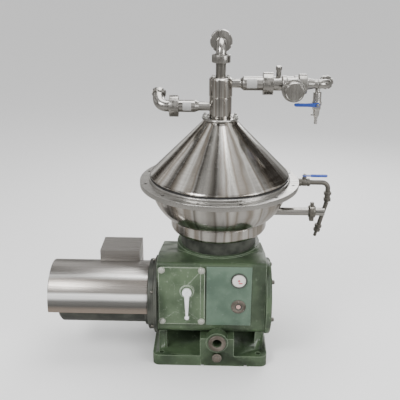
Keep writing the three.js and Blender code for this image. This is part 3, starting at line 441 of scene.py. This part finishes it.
def makeFloor():
    bm = bmesh.new()
    bmesh.ops.create_grid(bm, x_segments=1, y_segments=1, size=60)
    mesh = bpy.data.meshes.new("floor")
    bm.to_mesh(mesh)
    bm.free()
    floor = bpy.data.objects.new("floor", mesh)
    floor.location.z = -0.0005
    bpy.context.collection.objects.link(floor)
    s = Sheet("paleFloor")
    mirrored = s.node("ShaderNodeLightPath", {}, {}, "Is Glossy Ray")
    color = s.mix(mirrored, (0.90, 0.90, 0.90), (0.36, 0.35, 0.335))
    mesh.materials.append(s.set(Base_Color=color, Roughness=0.7))


makeCamera()
makeLight()
makeFloor()
print("camera, light and floor made")


# a CAD node cut through its axis gives the outline of a turned piece
def outlineOf(node, axis, at, side):
    bm = bmesh.new()
    bm.from_mesh(frame["nodes"][node].data)
    bmesh.ops.scale(bm, vec=(1 / mm, 1 / mm, 1 / mm), verts=bm.verts)
    bmesh.ops.remove_doubles(bm, verts=bm.verts, dist=1e-3)
    at, side, axis = Vector(at), Vector(side), Vector(axis)
    whole = bm.verts[:] + bm.edges[:] + bm.faces[:]
    bmesh.ops.bisect_plane(bm, geom=whole, plane_co=at, plane_no=side, clear_inner=True)
    whole = bm.verts[:] + bm.edges[:] + bm.faces[:]
    tilted = (axis.cross(side) + side * 0.0006).normalized()
    bmesh.ops.bisect_plane(bm, geom=whole, plane_co=at, plane_no=tilted, clear_inner=True, clear_outer=True)
    bmesh.ops.remove_doubles(bm, verts=bm.verts, dist=0.02)
    ends = [v for v in bm.verts if len(v.link_edges) == 1]
    here = ends[0] if ends else max(bm.verts, key=lambda v: (v.co - at).dot(side))
    chain, last = [here], None
    while True:
        after = [e.other_vert(here) for e in here.link_edges if e.other_vert(here) is not last]
        after = [v for v in after if v is not chain[0] or len(chain) < 3]
        if not after or after[0] in chain:
            break
        last, here = here, after[0]
        chain.append(here)
    points = [(max(0.0, (v.co - at).dot(side)), (v.co - at).dot(axis)) for v in chain]
    bm.free()
    kept = []
    for i, point in enumerate(points):
        before, after = Vector(points[i - 1]), Vector(points[(i + 1) % len(points)])
        into, out = Vector(point) - before, after - Vector(point)
        if into.length < 1e-3 or out.length < 1e-3 or into.angle(out, 0) > math.radians(0.8):
            kept.append(point)
    return kept


axes = {"x": (1, 0, 0), "y": (0, 1, 0), "z": (0, 0, 1)}


def turnedFrom(node, axis="z", at=(0, 0, 0), side=(0, -1, 0), radius=2.0, steps=96, material=None):
    outline = outlineOf(node, axes[axis], at, side)
    return finished(node + "_fine", spun(outline, radius, steps, axis, at), material, node)


def flattened(piece):
    # keeps the shading of the large flat faces flat
    modifier = piece.modifiers.new("flatFaces", "WEIGHTED_NORMAL")
    modifier.keep_sharp, modifier.weight = True, 100
    return piece


def softened(node, offset, segments=3, material=None, angle=35):
    # a copy of a CAD node with its flat faces made whole and its edges rounded
    bm = bmesh.new()
    bm.from_mesh(frame["nodes"][node].data)
    bmesh.ops.scale(bm, vec=(1 / mm, 1 / mm, 1 / mm), verts=bm.verts)
    bmesh.ops.remove_doubles(bm, verts=bm.verts, dist=0.01)
    bmesh.ops.dissolve_limit(bm, angle_limit=math.radians(1), verts=bm.verts, edges=bm.edges)
    sharp = [e for e in bm.edges if len(e.link_faces) == 2 and e.calc_face_angle(0) > math.radians(25)]
    bmesh.ops.bevel(bm, geom=sharp, offset=offset, affect="EDGES", segments=segments, profile=0.5,
                    material=-1, clamp_overlap=True)
    piece = finished(node + "_fine", bm, material, node, angle=angle)
    return flattened(piece)


def swept(points, radius, sides=40):
    # a round bar along a path
    bm = bmesh.new()
    points = [Vector(p) for p in points]
    across = None
    rings = []
    for i, point in enumerate(points):
        ahead = (points[min(i + 1, len(points) - 1)] - points[max(i - 1, 0)]).normalized()
        if across is None:
            across = ahead.orthogonal().normalized()
        across = (across - ahead * across.dot(ahead)).normalized()
        up = ahead.cross(across)
        rings.append([bm.verts.new(point + (across * math.cos(t) + up * math.sin(t)) * radius)
                      for t in (math.tau * k / sides for k in range(sides))])
    for a, b in zip(rings, rings[1:]):
        for k in range(sides):
            bm.faces.new((a[k], a[(k + 1) % sides], b[(k + 1) % sides], b[k]))
    bm.faces.new(rings[0])
    bm.faces.new(rings[-1])
    return bm


def curveThrough(p0, p1, p2, p3, count=24):
    p0, p1, p2, p3 = (Vector(p) for p in (p0, p1, p2, p3))
    ts = [i / count for i in range(count + 1)]
    return [p0 * (1 - t) ** 3 + p1 * 3 * t * (1 - t) ** 2 + p2 * 3 * t * t * (1 - t) + p3 * t ** 3
            for t in ts]


def quarterBend(start, u, v, radius, pull=0.5523):
    start, u, v = Vector(start), Vector(u), Vector(v)
    end = start + (u + v) * radius
    return curveThrough(start, start + u * radius * pull, end - v * radius * pull, end)


def notched(outer, width, slots=6, notch=(9, 3.5), soft=1.8, axis="z", at=(0, 0, 0), turn=0.35):
    # a round nut with slots for a hook spanner
    half = math.asin(notch[0] / 2 / outer)
    outline = []
    for k in range(slots):
        middle = turn + math.tau * k / slots
        floor = outer - notch[1]
        for a, r in ((-half, outer), (-half * 0.9, floor), (half * 0.9, floor), (half, outer)):
            outline.append((r * math.cos(middle + a), r * math.sin(middle + a)))
        step = (math.tau / slots - 2 * half) / 10
        for j in range(1, 10):
            a = middle + half + j * step
            outline.append((outer * math.cos(a), outer * math.sin(a)))
    bm = slab(outline, width, soft, 3)
    bmesh.ops.transform(bm, matrix=Matrix.Translation(at) @ turnTo[axis], verts=bm.verts)
    return bm


foot = softened("base_frame", offset=3.5)
softened("drive_casing", offset=5.0, segments=4)
softened("gear_window_cover", offset=3.0, segments=8, material=coverPaint, angle=13)
print("castings made")

footNotch = {"x": (-75, 150), "half": 8, "front": -340, "back": -306, "bottom": -5, "top": 9}
for x in footNotch["x"]:
    near = (x - footNotch["half"], footNotch["front"], footNotch["bottom"])
    cut(foot, block(near, (x + footNotch["half"], footNotch["back"], footNotch["top"]), 0))

coverBolt = {"x": {"L": -285, "R": -83}, "z": {"B": 247, "T": 539}, "y": -296.3, "radius": 14, "height": 11}
wornBolt = plain("wornBolt", (0.50, 0.52, 0.46), 0.38, 0.6)
for side, x in coverBolt["x"].items():
    for end, z in coverBolt["z"].items():
        at = (x, coverBolt["y"], z)
        r, h = coverBolt["radius"], coverBolt["height"]
        dome = [(0, 0), (r, 0), (r, 3), (r * 0.93, 6), (r * 0.7, 9), (r * 0.38, h - 0.8), (0, h)]
        bolt = joined(spun(dome, 0.8, 48, "-y", at), rod(r + 4, -1, 2, 0.8, 48, "-y", at))
        finished("coverBolt" + side + end, bolt, wornBolt, "gear_window_cover", False)

plate = {"left": -58, "right": 172, "bottom": 222, "top": 556, "back": -282.3, "front": -287.3, "rim": 1.8}
near = (plate["left"], plate["front"], plate["bottom"])
far = (plate["right"], plate["back"], plate["top"])
finished("instrumentPlate", block(near, far, plate["rim"]), None, "instrument_plate")

gaugeY = plate["front"] - 0.3
dial = {"x": 107, "z": 482, "ring": 41, "inner": 34, "depth": 9, "face": 5, "hub": 6,
        "mark": {"left": -2, "right": 18, "bottom": -17, "top": -10, "back": 4.8, "front": 5.6}}
at = (dial["x"], gaugeY, dial["z"])
ring = [(dial["inner"], 0), (dial["ring"], 0), (dial["ring"], 6), (dial["ring"] - 3, dial["depth"]),
        (dial["inner"] + 1, dial["depth"])]
finished("dialRing", spun(ring, 1.0, 96, "-y", at), finishes["dark_cast"], "speed_window")
disc = rod(dial["inner"] + 0.5, 0, dial["face"], 0.4, 72, "-y", at)
finished("dialFace", disc, finishes["white_dial"], "speed_window", False)
mark = dial["mark"]
near = (dial["x"] + mark["left"], gaugeY - mark["front"], dial["z"] + mark["bottom"])
far = (dial["x"] + mark["right"], gaugeY - mark["back"], dial["z"] + mark["top"])
hubMark = rod(dial["hub"], mark["back"], mark["front"] + 1, 0.6, 32, "-y", at)
finished("dialMark", joined(block(near, far, 0.2, 1), hubMark), markRed, "speed_window", False)

sight = {"x": 107, "z": 333, "screws": 3, "screwCircle": 30, "screwRadius": 3.4, "screwHeight": 3.6,
         "bezel": [(19, 0), (38, 0), (38, 4), (30, 9), (21, 9), (19, 7.5)],
         "inner": [(11.5, 0), (19.4, 0), (19.4, 6.2), (17, 6.6), (12.5, 5.4), (11.5, 4.6)],
         "lens": [(0, 0), (12, 0), (12, 4.4), (8, 5.4), (0, 5.9)]}
at = (sight["x"], gaugeY, sight["z"])
finished("sightBezel", spun(sight["bezel"], 1.2, 96, "-y", at), dullBrown, "sight_glass")
finished("sightInner", spun(sight["inner"], 0.5, 72, "-y", at), finishes["dark_cast"], "sight_glass", False)
finished("sightLens", spun(sight["lens"], 0.6, 72, "-y", at), finishes["sight_lens"], "sight_glass", False)
for k in range(sight["screws"]):
    a = math.radians(90 + 120 * k)
    place = (sight["x"] + sight["screwCircle"] * math.cos(a), gaugeY - 5,
             sight["z"] + sight["screwCircle"] * math.sin(a))
    screw = rod(sight["screwRadius"], 0, sight["screwHeight"], 0.8, 24, "-y", place)
    finished(f"sightScrew{k}", screw, finishes["machined_steel"], "sight_glass", False)

port = {"at": (0, -336.3, 144), "outline": [(24, 0), (46, 0), (46, 6), (43, 9), (27, 9), (24, 6.5)]}
finished("outletRing", spun(port["outline"], 1.0, 96, "-y", port["at"]), dullBrown, "outlet_port_ring")

plug = {"at": (0, -328.3, 50), "radius": 25, "flange": 7, "hex": 15, "hexStart": 6, "hexEnd": 12}
head = hexBar(plug["hex"], plug["hexStart"], plug["hexEnd"], 1.2, "-y", plug["at"])
disc = rod(plug["radius"], 0, plug["flange"], 1.6, 64, "-y", plug["at"])
finished("drainPlug", joined(disc, head), dullBrown, "drain_plug")

brake = {"at": (-156, -324.3, 432), "armOut": 10, "armFlat": 0.7, "ball": 12, "drop": 142, "pin": 13,
         "pinBack": -46, "hub": [(0, 0), (24, 0), (24, 13), (20, 18), (9, 18), (7, 15), (0, 15)],
         "arm": [(0, 0), (14, 0), (10.5, 60), (6, 136), (0, 140)]}
x, face, z = brake["at"]
armY = face - brake["armOut"]
arm = spun(brake["arm"], 1.5, 48)
hang = Matrix.Translation((x, armY, z)) @ Matrix.Diagonal((1, brake["armFlat"], -1, 1))
bmesh.ops.transform(arm, matrix=hang, verts=arm.verts)
ball = bmesh.new()
bmesh.ops.create_uvsphere(ball, u_segments=40, v_segments=24, radius=brake["ball"])
bmesh.ops.translate(ball, vec=(x, armY, z - brake["drop"]), verts=ball.verts)
pin = rod(brake["pin"], brake["pinBack"], 1, 0.8, 40, "-y", brake["at"])
lever = joined(spun(brake["hub"], 1.4, 64, "-y", brake["at"]), arm, ball, pin)
finished("brakeLever", lever, None, "brake_lever")
print("front fittings made")

shaftAt = (0, -150, 328)
turnedFrom("motor_adapter", "x", shaftAt, radius=3, steps=128)
turnedFrom("motor_body", "x", shaftAt, radius=4, steps=128)
turnedFrom("end_cover", "x", shaftAt, radius=4, steps=128)


def aroundShaft(x, circle, degrees):
    a = math.radians(degrees)
    return (x, shaftAt[1] - circle * math.cos(a), shaftAt[2] + circle * math.sin(a))


# head and stud each give a radius, a start, an end and a rim
def boltHead(washer, head, stud, axis, at):
    return joined(rod(washer, 0, 3, 0.8, 48, axis, at), hexBar(*head, axis, at), rod(*stud, 32, axis, at))


coverRing = {"bolts": 5, "first": 52, "x": 275.3, "circle": 165, "washer": 15, "head": (11, 2, 13, 1.2),
             "stud": (7.5, 12, 15, 1)}
for k in range(coverRing["bolts"]):
    place = aroundShaft(coverRing["x"], coverRing["circle"], coverRing["first"] + 72 * k)
    bolt = boltHead(coverRing["washer"], coverRing["head"], coverRing["stud"], "x", place)
    finished(f"endCoverBolt{k}", bolt, finishes["fitting_steel"], "end_cover", False)

adapterRing = {"places": (0, 1, 2, 3, 5), "first": 30, "x": -331, "circle": 196, "head": (8, -9, 5, 1)}
for k in adapterRing["places"]:  # none at the lowest place
    place = aroundShaft(adapterRing["x"], adapterRing["circle"], adapterRing["first"] + 60 * k)
    bolt = hexBar(*adapterRing["head"], "x", place)
    finished(f"adapterBolt{k}", bolt, finishes["fitting_steel"], "motor_adapter", False)

shroud = {"left": -870, "right": -357.3, "radius": 175, "wall": 4, "skirt": 26, "rim": 5,
          "window": ((-622.3, -118.3, 300), (-413.7, 55.3, 560))}


def archSlab(radius, skirt, left, right, soft, facets=64):
    angles = [math.pi * k / facets for k in range(facets + 1)]
    outline = [(-radius, -skirt)] + [(-radius * math.cos(a), radius * math.sin(a)) for a in angles]
    outline.append((radius, -skirt))
    bm = slab(outline, right - left, soft, 4)
    stand = Matrix(((0, 0, 1, left), (1, 0, 0, shaftAt[1]), (0, 1, 0, shaftAt[2]), (0, 0, 0, 1)))
    bmesh.ops.transform(bm, matrix=stand, verts=bm.verts)
    return bm


bm = archSlab(shroud["radius"], shroud["skirt"], shroud["left"], shroud["right"], shroud["rim"])
cover = finished("motorShroud", bm, motorSheet, "motor_shroud")
hollow = shroud["radius"] - shroud["wall"]
cut(cover, archSlab(hollow, shroud["skirt"] + 14, shroud["left"] + shroud["wall"], shroud["right"] + 20, 0))
cut(cover, block(*shroud["window"], 0))

terminal = {"left": -622, "right": -414, "front": -118, "back": 55, "top": 530, "lid": 12, "inset": 12}
softened("terminal_box", offset=3, segments=3, material=boxSheet)
near = (terminal["left"], terminal["front"], terminal["top"] - terminal["lid"])
bm = block(near, (terminal["right"], terminal["back"], terminal["top"]), 4, 4)
finished("terminalLid", bm, boxSheet, "terminal_box_lid")
left, right = terminal["left"] + terminal["inset"], terminal["right"] - terminal["inset"]
front, back = terminal["front"] + terminal["inset"], terminal["back"] - terminal["inset"]
for letter, x, y in (("A", left, front), ("B", right, front), ("C", left, back), ("D", right, back)):
    screw = rod(5, 0, 2.6, 1.2, 32, "z", (x, y, terminal["top"] - 1))
    finished("lidScrew" + letter, screw, finishes["machined_steel"], "terminal_box_lid", False)
print("motor made")

turnedFrom("neck_drum", radius=5, steps=160)
turnedFrom("lower_collar", radius=4, steps=160, material=hoodSheet)
turnedFrom("hood_gasket", radius=1.2, steps=160)
turnedFrom("hood_cone", radius=3, steps=192, material=hoodSheet)
turnedFrom("top_collar", radius=2, steps=128)
turnedFrom("inlet_cylinder_lower", radius=1.2, steps=112, material=hoodSheet)
turnedFrom("inlet_cylinder_upper", radius=1.6, steps=112, material=hoodSheet)

catcher = {"outer": [(252, 729), (263, 733.5), (276, 742), (289, 753), (303, 769), (318, 789), (330, 809),
                     (338, 826), (344.5, 845), (349, 866), (351.3, 885), (352, 902.7)],
           "wall": 6, "steps": 192}
inner = [(r - catcher["wall"], z + 1.5) for r, z in reversed(catcher["outer"])]
heel, rim = catcher["outer"][0], catcher["outer"][-1]
inner[0] = (rim[0] - catcher["wall"], rim[1])
inner[-1] = (heel[0] - catcher["wall"], heel[1] + 0.5)
bm = turned([Vector(p) for p in catcher["outer"] + inner], catcher["steps"])
finished("catcherShell", bm, hoodSheet, "collecting_catcher")

flange = {"holes": 12, "first": 15, "hole": 8, "circle": 388, "below": 890, "above": 945}
flangePiece = turnedFrom("catcher_flange", radius=2.2, steps=192, material=finishes["brushed_stainless"])
angles = [math.radians(flange["first"] + 30 * k) for k in range(flange["holes"])]
places = [(flange["circle"] * math.cos(a), flange["circle"] * math.sin(a), 0) for a in angles]
drills = [rod(flange["hole"], flange["below"], flange["above"], 0, 32, "z", place) for place in places]
cut(flangePiece, joined(*drills))

collarBolt = {"x": 77, "y": -20, "z": 1257.5, "washer": 17, "head": (14, 2.5, 15, 1.4),
              "stud": (7, 14, 24, 1.2)}
for side, x in (("L", -collarBolt["x"]), ("R", collarBolt["x"])):
    place = (x, collarBolt["y"], collarBolt["z"])
    bolt = boltHead(collarBolt["washer"], collarBolt["head"], collarBolt["stud"], "z", place)
    finished("collarBolt" + side, bolt, finishes["machined_steel"], "top_collar", False)

capNut = {"x": 38, "y": -8, "z": 1457.6, "hex": (10, 0, 7, 1),
          "dome": [(0, 6), (7.6, 6), (7, 10), (4, 12.6), (0, 13.4)]}
for side, x in (("L", -capNut["x"]), ("R", capNut["x"])):
    place = (x, capNut["y"], capNut["z"])
    nut = joined(hexBar(*capNut["hex"], "z", place), spun(capNut["dome"], 1, 40, "z", place))
    finished("capNut" + side, nut, finishes["machined_steel"], "inlet_cylinder_upper", False)
print("catcher and hood made")

feed = {"radius": 26, "bottom": 1447, "thread": 1462, "threadEnd": 1526, "pitch": 5, "root": 24.2,
        "top": 1567.7, "elbowZ": 1568, "bend": 54, "run": (20, 40, 62), "collar": (28.5, 1568, 1573, 1.4),
        "nut": (46, 37), "nutZ": 1530, "rearNut": (56, 40), "rearNutY": 60}
profile = [(0, feed["bottom"]), (feed["radius"], feed["bottom"]), (feed["radius"], feed["thread"])]
for z in range(feed["thread"], feed["threadEnd"], feed["pitch"]):
    profile += [(feed["radius"], z + 1), (feed["root"], z + 2.5), (feed["radius"], z + 4)]
profile += [(feed["radius"], feed["top"]), (0, feed["top"])]
finished("feedPipe", turned([Vector(p) for p in profile], 72), threadSteel, "feed_pipe")
finished("feedUnionNut", notched(*feed["nut"], at=(0, 0, feed["nutZ"])), crossBrushed, "feed_union_nut")
bend = quarterBend((0, 0, feed["elbowZ"]), (0, 0, 1), (0, 1, 0), feed["bend"])
backZ = feed["elbowZ"] + feed["bend"]
path = bend + [Vector((0, feed["bend"] + y, backZ)) for y in feed["run"]]
bm = joined(swept(path, feed["radius"]), rod(*feed["collar"], 64))
finished("feedElbow", bm, None, "feed_elbow")
nut = notched(*feed["rearNut"], axis="y", at=(0, feed["rearNutY"], backZ))
finished("feedRearNut", nut, crossBrushed, "feed_rear_nut")

cream = {"z": 1310, "nutAt": -210, "bendAt": -262.3, "reach": 50.6, "back": 60, "rise": 52, "radius": 29.5,
         "unionNut": (54, 46), "nut": (36, 22), "nutBack": 11, "easeIn": (-46, 0, 0),
         "easeOut": (-4, -36, -31.2)}
turnedFrom("cream_outlet_pipe", "x", (0, 0, cream["z"]), radius=2, steps=72)
nut = notched(*cream["unionNut"], axis="-x", at=(cream["nutAt"], 0, cream["z"]))
finished("creamUnionNut", nut, crossBrushed, "cream_union_nut")
start = Vector((cream["bendAt"], 0, cream["z"]))
end = start + Vector((-cream["reach"], cream["back"], cream["rise"]))
bend = curveThrough(start, start + Vector(cream["easeIn"]), end + Vector(cream["easeOut"]), end)
away = (bend[-1] - bend[-2]).normalized()
nut = notched(*cream["nut"])
turn = Vector((0, 0, 1)).rotation_difference(away).to_matrix().to_4x4()
bmesh.ops.transform(nut, matrix=Matrix.Translation(end - away * cream["nutBack"]) @ turn, verts=nut.verts)
finished("creamElbow", joined(swept(bend, cream["radius"]), nut), None, "cream_elbow")


# a blank patch wrapped round the front of a pipe, from angle down to angle up
def labelPatch(name, node, left, right, radius, z, up, down, lift=0.35, rowCount=16):
    bm = bmesh.new()
    rows = []
    under, over = radius - 0.3, radius + lift
    corners = ((left, under), (right, under), (right, over), (left, over))
    for k in range(rowCount + 1):
        a = math.radians(down + (up - down) * k / rowCount)
        rows.append([bm.verts.new((x, -r * math.cos(a), z + r * math.sin(a))) for x, r in corners])
    for a, b in zip(rows, rows[1:]):
        for k in range(4):
            bm.faces.new((a[k], a[(k + 1) % 4], b[(k + 1) % 4], b[k]))
    bm.faces.new(rows[0])
    bm.faces.new(rows[-1])
    finished(name, bm, labelFace, node, False)


skim = {"z": 1427, "ventAt": 284, "nutAt": 208, "nut": (56, 50),
        "outline": [(0, 40), (22.5, 40), (22.5, 97), (35, 112), (35, 300), (0, 300)],
        "vent": [(0, 1455), (12.5, 1455), (12.5, 1493), (15.5, 1495), (15.5, 1511), (10.5, 1515), (0, 1515)]}
line = (0, 0, skim["z"])
labels = {
    "creamLabel": {"node": "cream_outlet_pipe", "left": -188, "right": -146, "radius": 30.5, "z": cream["z"],
                   "up": 50, "down": -35},
    "skimLabel": {"node": "skim_outlet_pipe", "left": 128, "right": 178, "radius": 35, "z": skim["z"],
                  "up": 52, "down": -30},
}
for name, label in labels.items():
    labelPatch(name, **label)
pipe = spun(skim["outline"], 4, 72, "x", line)
vent = spun(skim["vent"], 1.4, 48, "z", (skim["ventAt"], 0, 0))
finished("skimPipe", joined(pipe, vent), None, "skim_outlet_pipe")
nut = notched(*skim["nut"], axis="x", at=(skim["nutAt"], 0, skim["z"]))
finished("skimUnionNut", nut, crossBrushed, "skim_union_nut")

valve = {"at": (352, 0, 1410), "neck": (30, -44, 60, 3), "nutAt": 384.3, "nut": (50, 39.4),
         "barrel": [(0, 300.3), (36, 300.3), (40, 306), (40, 322), (37, 326), (37, 360), (40, 364), (40, 380),
                    (36, 384), (0, 384)],
         "disc": [(0, 58), (53, 58), (57, 62), (57, 76), (54, 79), (54, 84), (57, 87), (55, 92), (0, 92)],
         "knob": [(0, 92.3), (40, 92.3), (48, 98), (48, 106), (46.8, 108), (48, 110), (48, 118), (46.8, 120),
                  (48, 122), (48, 131), (44, 136.3), (41, 136.3), (40, 134.6)]}
barrel = spun(valve["barrel"], 1.5, 72, "x", line)
disc = spun(valve["disc"], 1.2, 96, "-y", valve["at"])
neck = rod(*valve["neck"], 64, "-y", valve["at"])
finished("valveBody", joined(barrel, disc, neck), None, "valve_body")
# fine rings are turned into the knob's face
rings = [(r, 134.6 + 0.5 * (r % 6 == 0)) for r in range(38, 3, -2)]
knob = spun(valve["knob"] + rings + [(0, 134.6)], 1.2, 112, "-y", valve["at"])
finished("valveKnob", knob, crossBrushed, "valve_knob")
nut = notched(*valve["nut"], axis="x", at=(valve["nutAt"], 0, skim["z"]))
finished("valveUnionNut", nut, crossBrushed, "valve_union_nut")

tail = {"outline": [(0, 384.3), (29.5, 384.3), (29.5, 430), (22.5, 462), (22.5, 482.5), (0, 482.5)],
        "bendAt": 482, "bend": 46, "radius": 22.5, "nut": (34, 26), "nutY": 42, "run": (54, 62)}
outX = tail["bendAt"] + tail["bend"]
bend = quarterBend((tail["bendAt"], 0, skim["z"]), (1, 0, 0), (0, 1, 0), tail["bend"])
bend += [Vector((outX, y, skim["z"])) for y in tail["run"]]
nut = notched(*tail["nut"], axis="y", at=(outX, tail["nutY"], skim["z"]))
pipe = spun(tail["outline"], 4, 64, "x", line)
finished("tailElbow", joined(pipe, swept(bend, tail["radius"]), nut), None, "tail_elbow")

tap = {"x": 480, "leverZ": 1330, "arm": (6, 454, 480, 1), "armZ": 1274, "stub": (13, -30, 0, 1.5),
       "hex": (17, 1372, 1386, 1.2), "length": 116, "width": 22, "thick": 5, "leverY": -34, "stem": (5, -22),
       "outline": [(0, 1226), (8, 1226), (9, 1235), (7, 1236), (9, 1246), (7, 1247), (9, 1258), (9, 1262),
                   (11, 1262), (15, 1272), (16.5, 1296), (20.5, 1304), (20.5, 1318), (24, 1324), (24, 1336),
                   (20.5, 1342), (20.5, 1386), (12, 1390), (12, 1415), (0, 1415)]}
upright = (tap["x"], 0, 0)
arm = rod(*tap["arm"], 32, "x", (0, 0, tap["armZ"]))
stub = rod(*tap["stub"], 48, "y", (tap["x"], 0, tap["leverZ"]))
nut = hexBar(*tap["hex"], "z", upright)
barrel = spun(tap["outline"], 1.0, 56, "z", upright)
finished("sampleTap", joined(barrel, arm, stub, nut), chrome, "sample_tap_body")


# a flat lever that points along +X from its pivot, with a thicker grip at the far end
def leverBlade(length, width, thick, grip, tip=7):
    outline = []
    for k in range(13):
        a = math.pi / 2 + math.pi * k / 12
        outline.append((width / 2 * math.cos(a), width / 2 * math.sin(a)))
    for k in range(13):
        a = -math.pi / 2 + math.pi * k / 12
        outline.append((length - tip + tip * math.cos(a), tip * math.sin(a)))
    blade = slab(outline, thick, 1.1, 2)
    sleeve = [(grip, -7.5), (grip + 8, -9), (length - 8, -9), (length, -4), (length, 4), (length - 8, 9),
              (grip + 8, 9), (grip, 7.5)]
    cover = slab(sleeve, thick + 8, 3.6, 4)
    bmesh.ops.translate(cover, vec=(0, 0, -4), verts=cover.verts)
    return blade, cover


# stem gives the radius of the pivot's stem and where it starts below the blade
def makeLever(name, node, length, width, thick, matrix, stem):
    blade, cover = leverBlade(length, width, thick, 34)
    for bm in (blade, cover):
        bmesh.ops.transform(bm, matrix=matrix, verts=bm.verts)
    pin = rod(stem[0], stem[1], thick + 1, 0.8, 40)
    nut = hexBar(width * 0.36, thick, thick + 6, 0.9)
    tip = rod(width * 0.17, thick + 5, thick + 9, 0.8, 24)
    metal = joined(pin, nut, tip)
    bmesh.ops.transform(metal, matrix=matrix, verts=metal.verts)
    finished(name, joined(blade, cover), finishes["blue_grip"], node)
    finished(name + "Pivot", metal, finishes["machined_steel"], node, False)


sampleAt = Matrix(((-1, 0, 0, tap["x"]), (0, 0, -1, tap["leverY"]), (0, 1, 0, tap["leverZ"]), (0, 0, 0, 1)))
makeLever("sampleLever", "sample_tap_lever", tap["length"], tap["width"], tap["thick"], sampleAt, tap["stem"])
water = {"y": 90, "z": 882, "valveAt": 455, "length": 122, "width": 24, "thick": 5, "hexes": (425, 471),
         "body": [(0, 437), (17, 437), (20, 444), (20, 466), (17, 473), (0, 473)], "pipe": (13, 322, 426, 1),
         "bonnet": (12, 890, 911.7, 1.4), "bonnetHex": (14, 893, 903, 1), "hex": 22, "stem": (7, -16)}
lift = Matrix.Translation((water["valveAt"], water["y"], high("water_valve_lever").z - water["thick"]))
makeLever("waterLever", "water_valve_lever", water["length"], water["width"], water["thick"], lift,
          water["stem"])
print("levers made")

sludge = {"z": 750, "outline": [(18.5, 262), (21.5, 262), (21.5, 558), (18.5, 558)],
          "clamp": [(21.8, 474), (30, 474), (34, 480), (34, 504), (30, 510), (21.8, 510)],
          "wing": ((480, -16, 700), (504, 16, 722)), "lug": ((482, -9, 776), (502, 9, 802))}
line = (0, 0, sludge["z"])
finished("sludgePipe", spun(sludge["outline"], 0.8, 72, "x", line), None, "sludge_pipe")
lug, wing = (block(*sludge[end], 3, 3) for end in ("lug", "wing"))
clamp = joined(spun(sludge["clamp"], 1.5, 72, "x", line), lug, wing)
finished("sludgeClamp", clamp, finishes["fitting_steel"], "sludge_clamp")

line, upright = (0, water["y"], water["z"]), (water["valveAt"], water["y"], 0)
hexes = [hexBar(water["hex"], x, x + 14, 1.4, "x", line) for x in water["hexes"]]
barrel = spun(water["body"], 2, 56, "x", line)
pipe = rod(*water["pipe"], 48, "x", line)
bonnet = rod(*water["bonnet"], 48, "z", upright)
bm = joined(*hexes, barrel, pipe, bonnet, hexBar(*water["bonnetHex"], "z", upright))
finished("waterValve", bm, finishes["fitting_steel"], "water_valve_body")

elbow = {"start": 485.3, "bendAt": 550, "bend": 34, "radius": 13, "hex": (22, 814, 830, 1.4),
         "sleeve": (15, 778, 815, 1.2), "lowHex": (21, 778, 796, 1.4), "turnIn": 520, "runZ": (840, 829)}
dropX = elbow["bendAt"] + elbow["bend"]
upright = (dropX, water["y"], 0)
bend = quarterBend((elbow["bendAt"], water["y"], water["z"]), (1, 0, 0), (0, 0, -1), elbow["bend"])
path = [Vector((x, water["y"], water["z"])) for x in (elbow["start"], elbow["turnIn"])] + bend
path += [Vector((dropX, water["y"], z)) for z in elbow["runZ"]]
bm = joined(swept(path, elbow["radius"]), hexBar(*elbow["hex"], "z", upright),
            rod(*elbow["sleeve"], 48, "z", upright), hexBar(*elbow["lowHex"], "z", upright))
finished("waterElbow", bm, finishes["fitting_steel"], "water_elbow")

drain = {"top": (584, 90, 777.7), "bottom": (548, 90, 640), "tube": 12, "hex": 21, "neck": 13, "lowHex": 20,
         "spout": 9}
top = Vector(drain["top"])
down = Vector(drain["bottom"]) - top
length = down.length
tube = joined(rod(drain["tube"], 6, length + 1, 1, 48),
              hexBar(drain["hex"], length, length + 16, 1.3),
              rod(drain["neck"], length + 15, length + 24, 1, 48),
              hexBar(drain["lowHex"], length + 23, length + 40, 1.3),
              rod(drain["spout"], length + 39, length + 70, 1.5, 40))
turn = Vector((0, 0, 1)).rotation_difference(down.normalized()).to_matrix().to_4x4()
bmesh.ops.transform(tube, matrix=Matrix.Translation(top) @ turn, verts=tube.verts)
finished("waterDrainTube", tube, finishes["fitting_steel"], "water_drain_tube")
print("pipework made")

# the bowl is seen when the hood is lifted
for node in ("bowl_body", "bowl_hood", "bowl_lock_ring"):
    turnedFrom(node, radius=3, steps=160)
print("bowl made")

for node, piece in frame["nodes"].items():
    piece.data.materials.clear()
    piece.data.materials.append(finishes[slotOf[node]])
